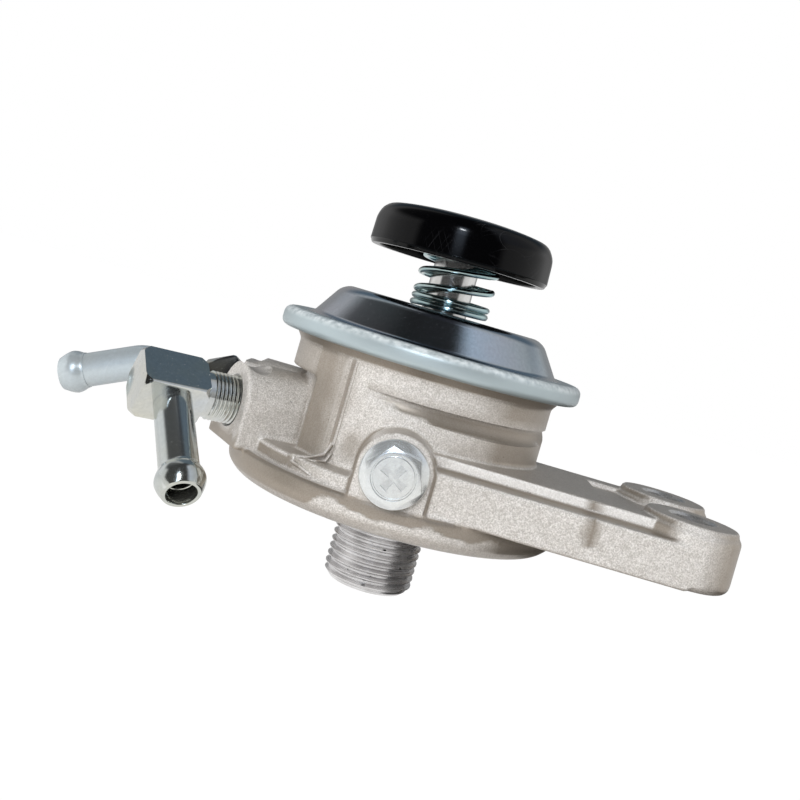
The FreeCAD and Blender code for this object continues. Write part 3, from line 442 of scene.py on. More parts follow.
# %% [markdown]
# ## Finishes
# Each finish starts from the same small set: where a point is on the piece, how sharp the surface is
# there, and a Principled BSDF. The Principled shader stays in the material, and the effect groups feed
# it.

# %% Finish helpers
class Finish:
    """A material's node tree with its Principled shader and the two sources every finish reads."""

    def __init__(self, name, **constants):
        self.material = bpy.data.materials.new(name)
        self.material.use_nodes = True
        self.tree = self.material.node_tree
        self.shader = self.tree.nodes["Principled BSDF"]
        for key, value in constants.items():
            self.shader.inputs[key.replace("_", " ")].default_value = value
        self.where = node(self.tree, "ShaderNodeTexCoord").outputs["Object"]
        self.sharpness = node(self.tree, "ShaderNodeNewGeometry").outputs["Pointiness"]

    def effect(self, tree, **values):
        """Place an effect group; the keywords are its sockets' names."""
        made = self.tree.nodes.new("ShaderNodeGroup")
        made.node_tree = tree
        values.setdefault("Vector", self.where)
        for key, value in values.items():
            if isinstance(value, bpy.types.NodeSocket):
                self.tree.links.new(value, made.inputs[key])
            else:
                made.inputs[key].default_value = value
        return made.outputs

    def edges(self, start, full):
        """A ragged mask from how sharp the surface is: above 0.5 outer edges, below it inner corners."""
        return self.effect(wear_and_shade, Pointiness=self.sharpness, From=start, To=full)["Mask"]

    def math(self, operation, *values, clamp=False):
        return math_node(self.tree, operation, *values, clamp=clamp)

    def times(self, first, second, clamp=False):
        return self.math("MULTIPLY", first, second, clamp=clamp)

    def mix(self, factor, first, second):
        return colour_mix(self.tree, factor, first, second)

    def ramp(self, factor, *stops):
        return ramp(self.tree, factor, stops)

    def step(self, value, low, high):
        return smooth_step(self.tree, value, low, high)

    def feed(self, name, socket):
        self.tree.links.new(socket, self.shader.inputs[name])

    def bump(self, height, depth, strength=1.0):
        """Turn a height into the shader's normal; depth is in millimetres."""
        made = node(self.tree, "ShaderNodeBump",
                    {"Height": height, "Distance": depth * MM, "Strength": strength})
        self.feed("Normal", made.outputs[0])


def worked_finish(name, metallic, tree, scales, low, high, rough, bump):
    """A finish led by one effect group: its tone runs between two colours and sets the roughness."""
    made = Finish(name, Metallic=metallic)
    surface = made.effect(tree, **scales)
    tone = made.ramp(surface["Tone"], (0.3, low), (0.7, high))
    made.feed("Base Color", tone)
    made.feed("Roughness", made.math("MULTIPLY_ADD", surface["Tone"], *rough))
    made.bump(surface["Height"], *bump)
    made.surface, made.tone = surface, tone
    return made


# %% [markdown]
# The casting is blasted with shot, which leaves a fine bright grain. Some of its skin stays smooth, and
# there its colour is also painted darker, as painted shade on faces under overhangs and on faces turned
# away from the lamps. The long rib on the arm gets a painted highlight, a paler colour where the light
# falls on it. Two numbers on each vertex, set further down when the casting is built, say where, and an
# Attribute node reads them. Outer edges are a little brighter, and inner corners are painted darker as
# shade.

# %% Die-cast aluminium
casting = Finish("die_cast_aluminium")
skin = casting.effect(grain, Scale=3800.0, Pits=0.5)
shaded_smooth_skin = node(casting.tree, "ShaderNodeAttribute", attribute_name="shaded_smooth_skin").outputs["Fac"]
painted_rib_highlight = node(casting.tree, "ShaderNodeAttribute", attribute_name="painted_rib_highlight").outputs["Fac"]
tone = casting.ramp(skin["Tone"], (0.36, (0.43, 0.40, 0.365)), (0.5, (0.60, 0.57, 0.535)),
                    (0.64, (0.82, 0.79, 0.755)))
# Painted highlight: the arm's long rib is mixed towards a pale colour where the light falls on it.
tone = casting.mix(casting.times(painted_rib_highlight, 0.5), tone, (0.82, 0.805, 0.785, 1))
# Painted shade: the smooth skin takes this darker tone, standing in for the shade on faces that turn away
# from the light.
painted_shade_tone = casting.ramp(skin["Tone"], (0.30, (0.31, 0.27, 0.225)), (0.70, (0.41, 0.36, 0.305)))
tone = casting.mix(shaded_smooth_skin, tone, painted_shade_tone)
grainy = casting.math("SUBTRACT", 1.0, shaded_smooth_skin, clamp=True)
bright_edges = casting.times(casting.times(casting.edges(0.535, 0.62), grainy), 0.35)
tone = casting.mix(bright_edges, tone, (0.78, 0.77, 0.75, 1))
# Painted shade: inner corners take a dark colour where shade would fall.
tone = casting.mix(casting.times(casting.edges(0.465, 0.41), 0.25), tone, (0.24, 0.215, 0.19, 1))
casting.feed("Base Color", casting.mix(skin["Pit"], tone, (0.09, 0.08, 0.07, 1)))
metal_share = casting.math("MULTIPLY_ADD", shaded_smooth_skin, 0.30, 0.40)
casting.feed("Metallic", casting.math("MULTIPLY_ADD", painted_rib_highlight, -0.15, metal_share))
rough_skin = casting.math("MULTIPLY_ADD", skin["Tone"], 0.25, 0.36)
casting.feed("Roughness", casting.math("MULTIPLY_ADD", shaded_smooth_skin, -0.10, rough_skin))
casting.bump(casting.times(skin["Height"], casting.math("MULTIPLY_ADD", shaded_smooth_skin, -0.85, 1.0)), 0.13)
print("die-cast aluminium nodes:", len(casting.tree.nodes))

# %% [markdown]
# Where a tool has cut the casting, its metal is bright and ringed. The same recipe serves turned brass
# and, with the casting's grain in place of the rings, sintered bronze and rubber, so it is one function.

# %% Machined aluminium
machined = worked_finish("machined_aluminium", 0.85, rings, {"Rings": 3000.0, "Unevenness": 0.5},
                         (0.42, 0.41, 0.40), (0.72, 0.71, 0.69), (0.25, 0.22), (0.03, 0.6))
print("machined aluminium nodes:", len(machined.tree.nodes))

# %% [markdown]
# The spigot's thread is cut in cast metal. It is brighter than the body, its roots are painted dark as
# shade, and the cutter has opened small holes that were inside the casting.

# %% Threaded spigot
threaded = Finish("cut_thread", Metallic=0.9)
cut_lines = threaded.effect(rings, Rings=5200.0, Unevenness=0.8)
cast_holes = threaded.effect(grain, Scale=1500.0, Pits=12.0)
tone = threaded.ramp(cut_lines["Tone"], (0.25, (0.52, 0.51, 0.51)), (0.72, (0.92, 0.91, 0.91)))
tone = threaded.mix(threaded.times(threaded.edges(0.52, 0.6), 0.5), tone, (0.85, 0.84, 0.84, 1))
# Painted shade: the thread's roots take a near-black colour where shade falls between the teeth.
tone = threaded.mix(threaded.times(threaded.edges(0.47, 0.38), 0.7), tone, (0.10, 0.095, 0.09, 1))
threaded.feed("Base Color", threaded.mix(cast_holes["Pit"], tone, (0.012, 0.011, 0.01, 1)))
threaded.feed("Roughness", threaded.math("MULTIPLY_ADD", cut_lines["Tone"], 0.25, 0.14))
threaded.bump(threaded.math("SUBTRACT", threaded.times(cut_lines["Height"], 0.3), cast_holes["Pit"]), 0.08)
print("cut thread nodes:", len(threaded.tree.nodes))

# %% [markdown]
# Zinc plating is not one colour: it drifts between a cool and a warm grey, with fine crystals in it. One
# function mixes it for every plated piece, and each piece gets its own colours, roughness and marks.

# %% Zinc-plated steel
USUAL_DUST = 0.2


def zinc_finish(name, cool, warm, warmth, rough, speckle, metallic=1.0, marking=0.3,
                dust=USUAL_DUST):
    """Plated steel: patchy bloom, fine crystals, a few handling scratches and bright edges."""
    made = Finish(name, Metallic=metallic)
    plate = made.effect(bloom, Cool=(*cool, 1), Warm=(*warm, 1), Warmth=warmth, Speckle=speckle)
    handled = made.effect(marks, Scratches=marking, Dust=dust)
    colour = made.mix(made.times(made.edges(0.53, 0.62), 0.4), plate["Color"], (0.80, 0.82, 0.82, 1))
    colour = made.mix(made.times(handled["Scratch"], 0.6), colour, (0.75, 0.77, 0.78, 1))
    if dust > USUAL_DUST:
        colour = made.mix(handled["Dust"], colour, (0.50, 0.53, 0.55, 1))
        made.feed("Metallic", made.math("SUBTRACT", metallic, made.times(handled["Dust"], 0.8)))
    made.feed("Base Color", colour)
    roughness = made.math("MULTIPLY_ADD", plate["Rough"], 0.22, rough)
    roughness = made.math("ADD", roughness, made.times(handled["Scratch"], 0.15))
    made.feed("Roughness", roughness)
    made.bump(made.math("SUBTRACT", plate["Height"], made.times(handled["Scratch"], 1.4)), 0.012, 0.5)
    made.colour, made.roughness, made.handled = colour, roughness, handled
    return made


zinc_sheet = zinc_finish("zinc_plated_sheet", (0.50, 0.58, 0.62), (0.56, 0.60, 0.56), 0.35, 0.14, 0.25)
zinc_fitting = zinc_finish("zinc_plated_fitting", (0.60, 0.64, 0.68), (0.74, 0.71, 0.57), 0.55, 0.06, 0.5,
                           dust=0.75)
zinc_tube = zinc_finish("zinc_plated_tube", (0.53, 0.60, 0.64), (0.58, 0.62, 0.62), 0.3, 0.30, 0.2, 0.6)
zinc_drop = zinc_finish("zinc_plated_drop_tube", (0.56, 0.62, 0.66), (0.66, 0.66, 0.58), 0.5, 0.085, 0.35,
                        0.97, dust=0.35)
bleed_steel = zinc_finish("zinc_plated_screw", (0.76, 0.80, 0.82), (0.81, 0.82, 0.80), 0.5, 0.18, 0.12, 0.78)
# Painted shade: the inner corners of the hexagon and the cross recess take a dark colour.
painted_recess_shade = bleed_steel.times(bleed_steel.edges(0.485, 0.43), 0.15)
bleed_steel.feed("Base Color", bleed_steel.mix(painted_recess_shade, bleed_steel.colour, (0.10, 0.12, 0.13, 1)))
spring_steel = zinc_finish("zinc_plated_spring", (0.30, 0.50, 0.55), (0.60, 0.64, 0.58), 0.4, 0.08, 0.2)
rod_steel = zinc_finish("plain_rod_steel", (0.72, 0.72, 0.72), (0.70, 0.69, 0.66), 0.5, 0.10, 0.1)
washer_steel = zinc_finish("washer_steel", (0.50, 0.52, 0.54), (0.55, 0.54, 0.50), 0.5, 0.25, 0.3)
print("plated finishes up to", washer_steel.material.name)

# %% [markdown]
# The cover has two looks in one sheet. Its raised middle mirrors the room, and its flat rim is duller,
# with a painted highlight: a pale, patchy band along its upper corner, where the light catches the rounded
# edge. Both are found by distance from the axis and by height.

# %% Pressed cover
RIM_FROM, RIM_FULL = 0.0268, 0.0285
RIM_HIGHLIGHT_FROM, RIM_HIGHLIGHT_FULL, RIM_HIGHLIGHT_LOW, RIM_HIGHLIGHT_HIGH = 0.0300, 0.0312, 0.0333, 0.0347
pressed_zinc = zinc_finish("zinc_plated_cover", (0.50, 0.60, 0.66), (0.60, 0.60, 0.66), 0.45, 0.09, 0.25)
spot = node(pressed_zinc.tree, "ShaderNodeSeparateXYZ", {0: pressed_zinc.where}).outputs
from_axis = pressed_zinc.math("MULTIPLY_ADD", spot[0], spot[0], pressed_zinc.times(spot[1], spot[1]))
from_axis = pressed_zinc.math("SQRT", from_axis)
rim_share = pressed_zinc.step(from_axis, RIM_FROM, RIM_FULL)
powder = pressed_zinc.times(pressed_zinc.handled["Dust"], 1.6, clamp=True)
rim_tone = pressed_zinc.mix(rim_share, pressed_zinc.colour, (0.43, 0.50, 0.52, 1))
# Painted highlight: the upper corner of the rim is mixed towards a pale colour in patches.
corner = pressed_zinc.times(pressed_zinc.step(from_axis, RIM_HIGHLIGHT_FROM, RIM_HIGHLIGHT_FULL),
                            pressed_zinc.step(spot[2], RIM_HIGHLIGHT_LOW, RIM_HIGHLIGHT_HIGH))
patchy_highlight = pressed_zinc.step(scaled_noise(pressed_zinc.tree, pressed_zinc.where, 900.0, 4.0), 0.15, 0.75)
corner = pressed_zinc.times(corner, patchy_highlight)
rim_tone = pressed_zinc.mix(corner, rim_tone, (0.76, 0.81, 0.82, 1))
pressed_zinc.feed("Base Color", pressed_zinc.mix(powder, rim_tone, (0.60, 0.61, 0.62, 1)))
metal_share = pressed_zinc.math("MULTIPLY_ADD", rim_share, -0.42, 1.0)
metal_share = pressed_zinc.math("SUBTRACT", metal_share, pressed_zinc.times(powder, 0.5), clamp=True)
pressed_zinc.feed("Metallic", pressed_zinc.math("MULTIPLY_ADD", corner, -0.35, metal_share, clamp=True))
pressed_zinc.feed("Roughness", pressed_zinc.math("MULTIPLY_ADD", rim_share, 0.26, pressed_zinc.roughness))
print("pressed cover nodes:", len(pressed_zinc.tree.nodes))

# %% [markdown]
# The knob is moulded in black plastic with a faint orange peel. Its colour is almost nothing, so what is
# seen on it is the room and a few scratches that scatter light.

# %% Black knob plastic
knob_black = Finish("black_knob_plastic", Metallic=0.0, IOR=1.52, Specular_IOR_Level=0.16)
knob_marks = knob_black.effect(marks, Scratches=0.35, Dust=0.4)
orange_peel = scaled_noise(knob_black.tree, knob_black.where, 420.0, 2.0)
colour = knob_black.mix(knob_marks["Scratch"], (0.0008, 0.0008, 0.0010, 1), (0.05, 0.05, 0.055, 1))
colour = knob_black.mix(knob_black.times(knob_marks["Dust"], 0.4), colour, (0.03, 0.03, 0.032, 1))
knob_black.feed("Base Color", colour)
shine = knob_black.math("MULTIPLY_ADD", orange_peel, 0.06, 0.09)
knob_black.feed("Roughness", knob_black.math("ADD", shine, knob_black.times(knob_marks["Scratch"], 0.35)))
knob_black.bump(knob_black.math("SUBTRACT", orange_peel, knob_marks["Scratch"]), 0.015, 0.4)
print("knob plastic nodes:", len(knob_black.tree.nodes))

# %% [markdown]
# The small parts inside are brass, sintered bronze and rubber. Bronze shows the pores between its grains,
# and rubber is dull with dust on it.

# %% Brass, bronze and rubber
brass = worked_finish("turned_brass", 1.0, rings, {"Rings": 3600.0, "Unevenness": 0.6},
                      (0.50, 0.33, 0.12), (0.78, 0.57, 0.27), (0.25, 0.2), (0.02, 0.5))
bronze = worked_finish("sintered_bronze", 0.9, grain, {"Scale": 2600.0, "Pits": 0.7},
                       (0.30, 0.19, 0.10), (0.52, 0.36, 0.20), (0.3, 0.3), (0.04, 0.6))
bronze.feed("Base Color", bronze.mix(bronze.surface["Pit"], bronze.tone, (0.06, 0.04, 0.02, 1)))
rubber = worked_finish("nitrile_rubber", 0.0, grain, {"Scale": 3000.0, "Pits": 0.3},
                       (0.011, 0.011, 0.012), (0.030, 0.029, 0.028), (0.25, 0.55), (0.03, 0.5))
rubber_dust = rubber.effect(marks, Scratches=0.3, Dust=0.6)["Dust"]
rubber.feed("Base Color", rubber.mix(rubber.times(rubber_dust, 0.4), rubber.tone, (0.09, 0.085, 0.08, 1)))
print("finishes:", len(bpy.data.materials))


# %% [markdown]
# ## Workshop helpers
# Most pieces of this part were made on a lathe or pressed round a former, so they are turned here in the
# same way: an outline is drawn as a chain of vertices, its corners are rounded with a vertex bevel, and
# the spin operator sweeps it round the axis. All building is done in millimetres, and the last step
# brings each piece to metres and to its place.

# %% Lathe
def lathe(corners, rounds=None, steps=144, segments=4):
    """Turn an outline of (radius, height) corners about Z; rounds gives some corners a cut length.

    An outline that starts and ends on the axis stays an open chain, any other is closed.
    """
    build = bmesh.new()
    points = [build.verts.new((r, 0, z)) for r, z in corners]
    closed = corners[0][0] > 0 or corners[-1][0] > 0
    for first, second in zip(points, points[1:] + points[:1] if closed else points[1:]):
        build.edges.new((first, second))
    for index, amount in (rounds or {}).items():
        bmesh.ops.bevel(build, geom=[points[index]], offset=amount, affect="VERTICES", segments=segments,
                        profile=0.5, material=-1)
    bmesh.ops.spin(build, geom=build.verts[:] + build.edges[:], cent=(0, 0, 0), axis=(0, 0, 1),
                   angle=2 * math.pi, steps=steps, use_merge=True)
    bmesh.ops.remove_doubles(build, verts=build.verts, dist=0.0005)
    bmesh.ops.recalc_face_normals(build, faces=build.faces)
    return build


def round_bar(radius_mm, low, high, steps=96, edge=0.0):
    """A plain round bar between two heights; edge rounds its lower rim."""
    corners = [(0, low), (radius_mm, low), (radius_mm, high), (0, high)]
    return lathe(corners, {1: edge} if edge else None, steps=steps)


# %% [markdown]
# A screw thread is a tooth profile that climbs as it turns. One pitch of it is spun with a rise at every
# step, a turn too many at each end, and two flat cuts trim it to length.

# %% Thread
def screw_thread(crest_r, depth, pitch, low, high, steps=72):
    """A closed threaded bar about Z: one pitch of the profile is spun with a rise, then trimmed flat."""
    build = bmesh.new()
    root_r = crest_r - depth
    start = low - 1.5 * pitch
    turns = math.ceil((high - low) / pitch) + 3
    profile = ((root_r, 0.0), (root_r, 0.24), (crest_r, 0.58), (crest_r, 0.68), (root_r, 1.0))
    points = [build.verts.new((r, 0, start + share * pitch)) for r, share in profile]
    for first, second in zip(points, points[1:]):
        build.edges.new((first, second))
    bmesh.ops.spin(build, geom=build.verts[:] + build.edges[:], cent=(0, 0, 0), axis=(0, 0, 1),
                   dvec=(0, 0, pitch / steps), angle=2 * math.pi * turns, steps=steps * turns)
    bmesh.ops.remove_doubles(build, verts=build.verts, dist=0.002)
    for height, above in ((low, False), (high, True)):
        bmesh.ops.bisect_plane(build, geom=build.verts[:] + build.edges[:] + build.faces[:], dist=0.0001,
                               plane_co=(0, 0, height), plane_no=(0, 0, 1), clear_outer=above,
                               clear_inner=not above)
    bmesh.ops.holes_fill(build, edges=[edge for edge in build.edges if edge.is_boundary], sides=0)
    bmesh.ops.recalc_face_normals(build, faces=build.faces)
    return build


# %% [markdown]
# Square bar and the flat forms of the casting start as blocks, given by two corners. A bevel breaks their
# edges, on all of them or only on those that stand upright.

# %% Blocks
def block(low, high, bevel=0.0, segments=3, only=None):
    """A box between two corners; only chooses which edges take the bevel."""
    build = bmesh.new()
    bmesh.ops.create_cube(build, size=1.0)
    bmesh.ops.scale(build, vec=[b - a for a, b in zip(low, high)], verts=build.verts)
    bmesh.ops.translate(build, vec=[(a + b) / 2 for a, b in zip(low, high)], verts=build.verts)
    if bevel:
        edges = [edge for edge in build.edges if only is None or only(edge)]
        bmesh.ops.bevel(build, geom=edges, offset=bevel, affect="EDGES", segments=segments, profile=0.5,
                        material=-1)
    return build


def moved(build, matrix):
    """Turn and place a build."""
    bmesh.ops.transform(build, matrix=matrix, verts=build.verts)
    return build


# %% [markdown]
# Milling and drilling are cuts, so they are made as cuts: a tool is built as a closed solid, and a
# modifier takes it away. The object that carries the modifier is temporary, and only its mesh is kept.

# %% Joining and cutting
def applied(item):
    """The build that a temporary object's modifiers give; the object goes."""
    view = bpy.context.evaluated_depsgraph_get()
    mesh = bpy.data.meshes.new_from_object(item.evaluated_get(view))
    result = bmesh.new()
    result.from_mesh(mesh)
    bpy.data.meshes.remove(mesh)
    old = item.data
    bpy.data.objects.remove(item)
    bpy.data.meshes.remove(old)
    return result


def combined(first, second, operation):
    """Join, cut or keep the overlap of two closed builds."""
    base = object_of(first, "base")
    tool = object_of(second, "tool")
    modifier = base.modifiers.new("combine", "BOOLEAN")
    modifier.object = tool
    modifier.operation = operation
    modifier.solver = "MANIFOLD"
    result = applied(base)
    bpy.data.objects.remove(tool)
    return result


def gathered(builds):
    """Put several builds in one, as separate shells."""
    whole = bmesh.new()
    for build in builds:
        mesh = bpy.data.meshes.new("shell")
        build.to_mesh(mesh)
        build.free()
        whole.from_mesh(mesh)
        bpy.data.meshes.remove(mesh)
    return whole


# %% [markdown]
# A build becomes a piece of the part in one place: it is welded, brought to metres, shaded smooth with
# sharp edges kept, given its finish and tied to the body it moves with, and the CAD nodes it replaces
# are hidden.

# %% A finished piece
def piece(build, name, finish, body, slot, *nodes, sharp=32):
    """Bring a build to metres and make it a piece of the part, in place of the CAD nodes named."""
    bmesh.ops.remove_doubles(build, verts=build.verts, dist=0.0005)
    bmesh.ops.scale(build, vec=(MM, MM, MM), verts=build.verts)
    item = object_of(build, name)
    item.data.shade_smooth()
    item.data.set_sharp_from_angle(angle=math.radians(sharp))
    item.data.materials.append(finish.material)
    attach(item, body)
    if nodes:
        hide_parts(*nodes)
    print("%s: %d faces" % (name, len(item.data.polygons)))
    return item


# %% [markdown]
# ## The head casting
# The head is poured into a steel mould: a disc that the filter seals on, a round pump body, port bosses,
# a bleed boss and a flat arm. Castings have no sharp inner corners, so the forms are built as overlapping
# shells, melted together with a voxel remesh, and smoothed a little. Drilled and milled faces are cut
# after that, so they stay crisp, as on the real part where the machining comes after the casting.

# %% Sizes of the casting
SEAT_R, SEAT_T, STEP_R, STEP_TOP = 35.5, 6.0, 33.0, 8.8
BODY_R, NECK_Z, CHAMBER_R, CHAMBER_Z, CLAMP_Z = 27.5, 29.0, 23.0, 25.0, 33.0
ARM_NEAR, ARM_FAR, LEDGE, LEDGE_Z, ARM_TOP = -33.0, 10.4, 4.4, 14.3, 16.7
BOLT_X, BOLT_R, BOSS_R, BOSS_TOP = 56.0, 4.25, 9.8, 18.0
BOLT_PLACES = (ARM_NEAR + BOSS_R, ARM_NEAR + BOSS_R + 24.0)
BLEED_X, BLEED_Z, BLEED_FACE, BLEED_R = -1.0, 12.2, -35.0, 7.3
PORT_Z, PORT_R, PORT_FOOT_Z = 13.6, 8.3, 5.4
FRONT_MOUTH, FRONT_OUT = Vector((-36.1, -13.0, PORT_Z)), Vector((-math.cos(math.radians(30)), -0.5, 0))
REAR_MOUTH, REAR_OUT = Vector((-38.0, 6.0, PORT_Z)), Vector((-1, 0, 0))
COLLAR_R, COLLAR_FOOT, RECESS_R, RECESS_Z, SPIGOT_BORE_R = 31.3, 31.85, 26, 2.5, 6.0
print("bolt holes at y", [round(place_y, 1) for place_y in BOLT_PLACES])


def pointing(base, axis, sideways=None):
    """The matrix that takes +Z to an axis and the origin to a base; sideways, if given, takes +X."""
    z = Vector(axis).normalized()
    x = Vector(sideways).normalized() if sideways is not None else z.orthogonal().normalized()
    y = z.cross(x)
    turn = Matrix((x, y, z)).transposed().to_4x4()
    return Matrix.Translation(Vector(base)) @ turn


# %% [markdown]
# The trunk is turned: disc, step, body, flare and collar. Two hollows are taken from it. One is a leaf-
# shaped sweep under the collar, cut by a ring that stands a little aside. The other narrows the body on
# the side of the ports.

# %% Round trunk and its two hollows
SEAT_CORNER, FLARE_R = 2.4, 29.6
trunk = lathe([(0, RECESS_Z), (RECESS_R, RECESS_Z), (RECESS_R, 0), (SEAT_R - SEAT_CORNER, 0),
               (SEAT_R, SEAT_CORNER), (SEAT_R, SEAT_T), (STEP_R, SEAT_T), (STEP_R, STEP_TOP),
               (BODY_R, STEP_TOP), (BODY_R, NECK_Z), (FLARE_R, COLLAR_FOOT), (COLLAR_R, COLLAR_FOOT),
               (COLLAR_R, CLAMP_Z), (0, CLAMP_Z)],
              {3: 1.4, 4: 1.0, 5: 0.4, 7: 0.7}, steps=180)

LEAF_TURN, LEAF_CUT, LEAF_SHIFT, LEAF_R, LEAF_TOP = math.radians(37), 2.0, 4.7, 4.2, 24.6
leaf_ring = lathe([(BODY_R - LEAF_CUT + LEAF_SHIFT + LEAF_R + LEAF_R * math.cos(math.radians(a)),
                    LEAF_R * math.sin(math.radians(a))) for a in range(0, 360, 15)], steps=120)
leaf_shift = (-LEAF_SHIFT * math.sin(LEAF_TURN), LEAF_SHIFT * math.cos(LEAF_TURN), LEAF_TOP)
moved(leaf_ring, Matrix.Translation(leaf_shift))
leaf = combined(leaf_ring, block((-80, -80, 0), (80, 80, LEAF_TOP)), "INTERSECT")

WAIST_R, WAIST_SIDE, WAIST_TOP = 24.2, -20.5, 23.5
waist = combined(block((-60, -60, STEP_TOP), (WAIST_SIDE, 60, WAIST_TOP)), round_bar(WAIST_R, 0, 40, 120),
                 "DIFFERENCE")
trunk = combined(trunk, waist, "DIFFERENCE")
print("trunk faces:", len(trunk.faces))

# %% [markdown]
# The arm is a plate with a raised middle, a web between the bolt bosses and a shallow channel along it.
# Each is a block of its own, and the two bosses are turned.

# %% Arm shells
def upright(edge):
    """True for an edge that stands along Z."""
    first, second = (v.co for v in edge.verts)
    return abs((second - first).normalized().z) > 0.99


CHANNEL_FROM, CHANNEL_WALL, CHANNEL_DEEP = 39.5, 5.2, 1.1
channel = block((CHANNEL_FROM, ARM_NEAR + LEDGE + CHANNEL_WALL, ARM_TOP - CHANNEL_DEEP),
                (70, ARM_FAR - LEDGE - CHANNEL_WALL, 30), 0.5, only=upright)
arm_upper = block((0, ARM_NEAR + LEDGE, SEAT_T + 1), (BOLT_X, ARM_FAR - LEDGE, ARM_TOP), 0.45)
arm_web = block((BOLT_X - 2, BOLT_PLACES[0], SEAT_T), (BOLT_X + 6.5, BOLT_PLACES[1], ARM_TOP), 0.6)
arm_shells = [
    block((0, ARM_NEAR, SEAT_T), (BOLT_X, ARM_FAR, LEDGE_Z), 0.55),
    combined(arm_upper, channel.copy(), "DIFFERENCE"),
    combined(arm_web, channel, "DIFFERENCE"),
]
for place_y in BOLT_PLACES:
    boss = lathe([(0, SEAT_T), (BOSS_R, SEAT_T), (BOSS_R, ARM_TOP), (BOSS_R - 0.8, ARM_TOP + 0.1),
                  (BOSS_R - 0.8, BOSS_TOP), (0, BOSS_TOP)], {1: 1.9, 2: 1.0, 4: 0.4}, steps=96)
    arm_shells.append(moved(boss, Matrix.Translation((BOLT_X, place_y, 0))))
print("arm shells:", len(arm_shells))

# %% [markdown]
# Both hose fittings screw into round bosses that stand on square feet. The bleed screw has a boss of the
# same kind. They run deep into the trunk, so that the melting has something to join.

# %% Port and bleed boss shells
BOSS_LONG, BLEED_LONG = 21, 24


def port_shells(mouth, out):
    """A round boss on a square foot; the build starts at the mouth and runs inwards."""
    inward = -out
    frame_turn = pointing(mouth, inward, Vector((0, 0, 1)).cross(inward))
    barrel = round_bar(PORT_R, 0, BOSS_LONG, edge=0.7)
    foot = block((-PORT_R, PORT_FOOT_Z - PORT_Z, 0), (PORT_R, 0, BOSS_LONG), 0.4)
    if (frame_turn.to_3x3() @ Vector((0, 1, 0))).z < 0:
        bmesh.ops.rotate(foot, cent=(0, 0, 0), matrix=Matrix.Rotation(math.pi, 3, "Z"), verts=foot.verts)
    return [moved(barrel, frame_turn), moved(foot, frame_turn)]


bleed_boss = round_bar(BLEED_R, 0, BLEED_LONG, edge=0.6)
bleed_shells = [moved(bleed_boss, pointing((BLEED_X, BLEED_FACE, BLEED_Z), (0, 1, 0))),
                block((BLEED_X - BLEED_R, BLEED_FACE, SEAT_T),
                      (BLEED_X + BLEED_R, BLEED_FACE + BLEED_LONG, BLEED_Z), 0.6)]
spigot_root = round_bar(9.3, 0.5, 5, 72)
print("boss face of the bleed screw at y", BLEED_FACE)

# %% [markdown]
# Melting works in three modifiers. The voxel remesh turns overlapping shells into one skin of small
# squares, the smoothing wears its steps down to soft corners, and the decimate takes away faces the eye
# doesn't need. The leaf-shaped hollow under the collar has a crisp edge, so it is cut only afterwards.

# %% Melt the shells together
VOXEL = 0.4
shells = gathered([trunk, spigot_root] + arm_shells + bleed_shells
                  + port_shells(FRONT_MOUTH, FRONT_OUT) + port_shells(REAR_MOUTH, REAR_OUT))
melting = object_of(shells, "melting")
remesh = melting.modifiers.new("melt", "REMESH")
remesh.mode = "VOXEL"
remesh.voxel_size = VOXEL
rounding = melting.modifiers.new("round", "SMOOTH")
rounding.factor = 0.5
rounding.iterations = 2
lighter = melting.modifiers.new("lighter", "DECIMATE")
lighter.ratio = 0.38
head = applied(melting)
head = combined(head, leaf, "DIFFERENCE")
print("melted faces:", len(head.faces))

# %% [markdown]
# Where the two halves of the mould met, a thin line of metal squeezed out and was never filed off. These
# flash lines are narrow boxes with uneven edges, joined on after the remesh, which would have swallowed
# them.

# %% Flash lines
def flash_line(low, high, steps=14, wander=0.10, seed=0.0):
    """A thin upright box whose outer side wanders a little."""
    line = block(low, high)
    bmesh.ops.subdivide_edges(line, edges=[edge for edge in line.edges if upright(edge)], cuts=steps)
    for v in line.verts:
        drift = noise.noise_vector(Vector((seed, seed, v.co.z * 0.9))) * wander
        v.co.x += drift.x
        v.co.y += drift.y
    return line


def flash_path(points, thick):
    """Thin six-sided bars from point to point, for flash that wanders over a corner."""
    bars = []
    for first, second in zip(points, points[1:]):
        first, second = Vector(first), Vector(second)
        bar = bmesh.new()
        bmesh.ops.create_cone(bar, cap_ends=True, segments=6, radius1=thick, radius2=thick * 0.8,
                              depth=(second - first).length + thick)
        bars.append(moved(bar, pointing((first + second) / 2, second - first)))
    return bars


RIDGE_X = 14.1
ridge_y = -math.sqrt(BODY_R ** 2 - RIDGE_X ** 2)
ledge_y = ARM_NEAR + LEDGE
ridges = [
    flash_line((-14.3, ridge_y - 0.30, STEP_TOP + 2), (-13.75, ridge_y + 3, NECK_Z), 18, 0.10, 3.0),
    flash_line((-13.2, ridge_y - 0.62, STEP_TOP + 1), (-12.9, ridge_y + 3, NECK_Z - 0.5), 18, 0.07, 5.0),
    flash_line((36.25, ARM_NEAR - 0.13, SEAT_T + 2.5), (36.42, ARM_NEAR + 2, LEDGE_Z), 8, 0.12, 7.0),
    flash_line((36.05, ledge_y - 0.06, LEDGE_Z), (36.17, ledge_y + 2, ARM_TOP - 0.1), 4, 0.10, 9.0),
]
ridges += flash_path([(-13.8, -24.2, 12.2), (-14.6, -24.6, 10.2), (-17.2, -25.4, 9.0), (-19.9, -26.3, 8.7),
                      (-19.9, -26.7, 7.6), (-18.0, -27.8, 7.2), (-15.8, -29.0, 6.7)], 0.42)
ridges += flash_path([(-13.4, -24.4, 10.6), (-14.0, -25.2, 9.0), (-15.6, -26.4, 8.9), (-18.6, -27.2, 8.5)],
                     0.25)
for ridge in ridges:
    head = combined(head, ridge, "UNION")
print("flash lines:", len(ridges))

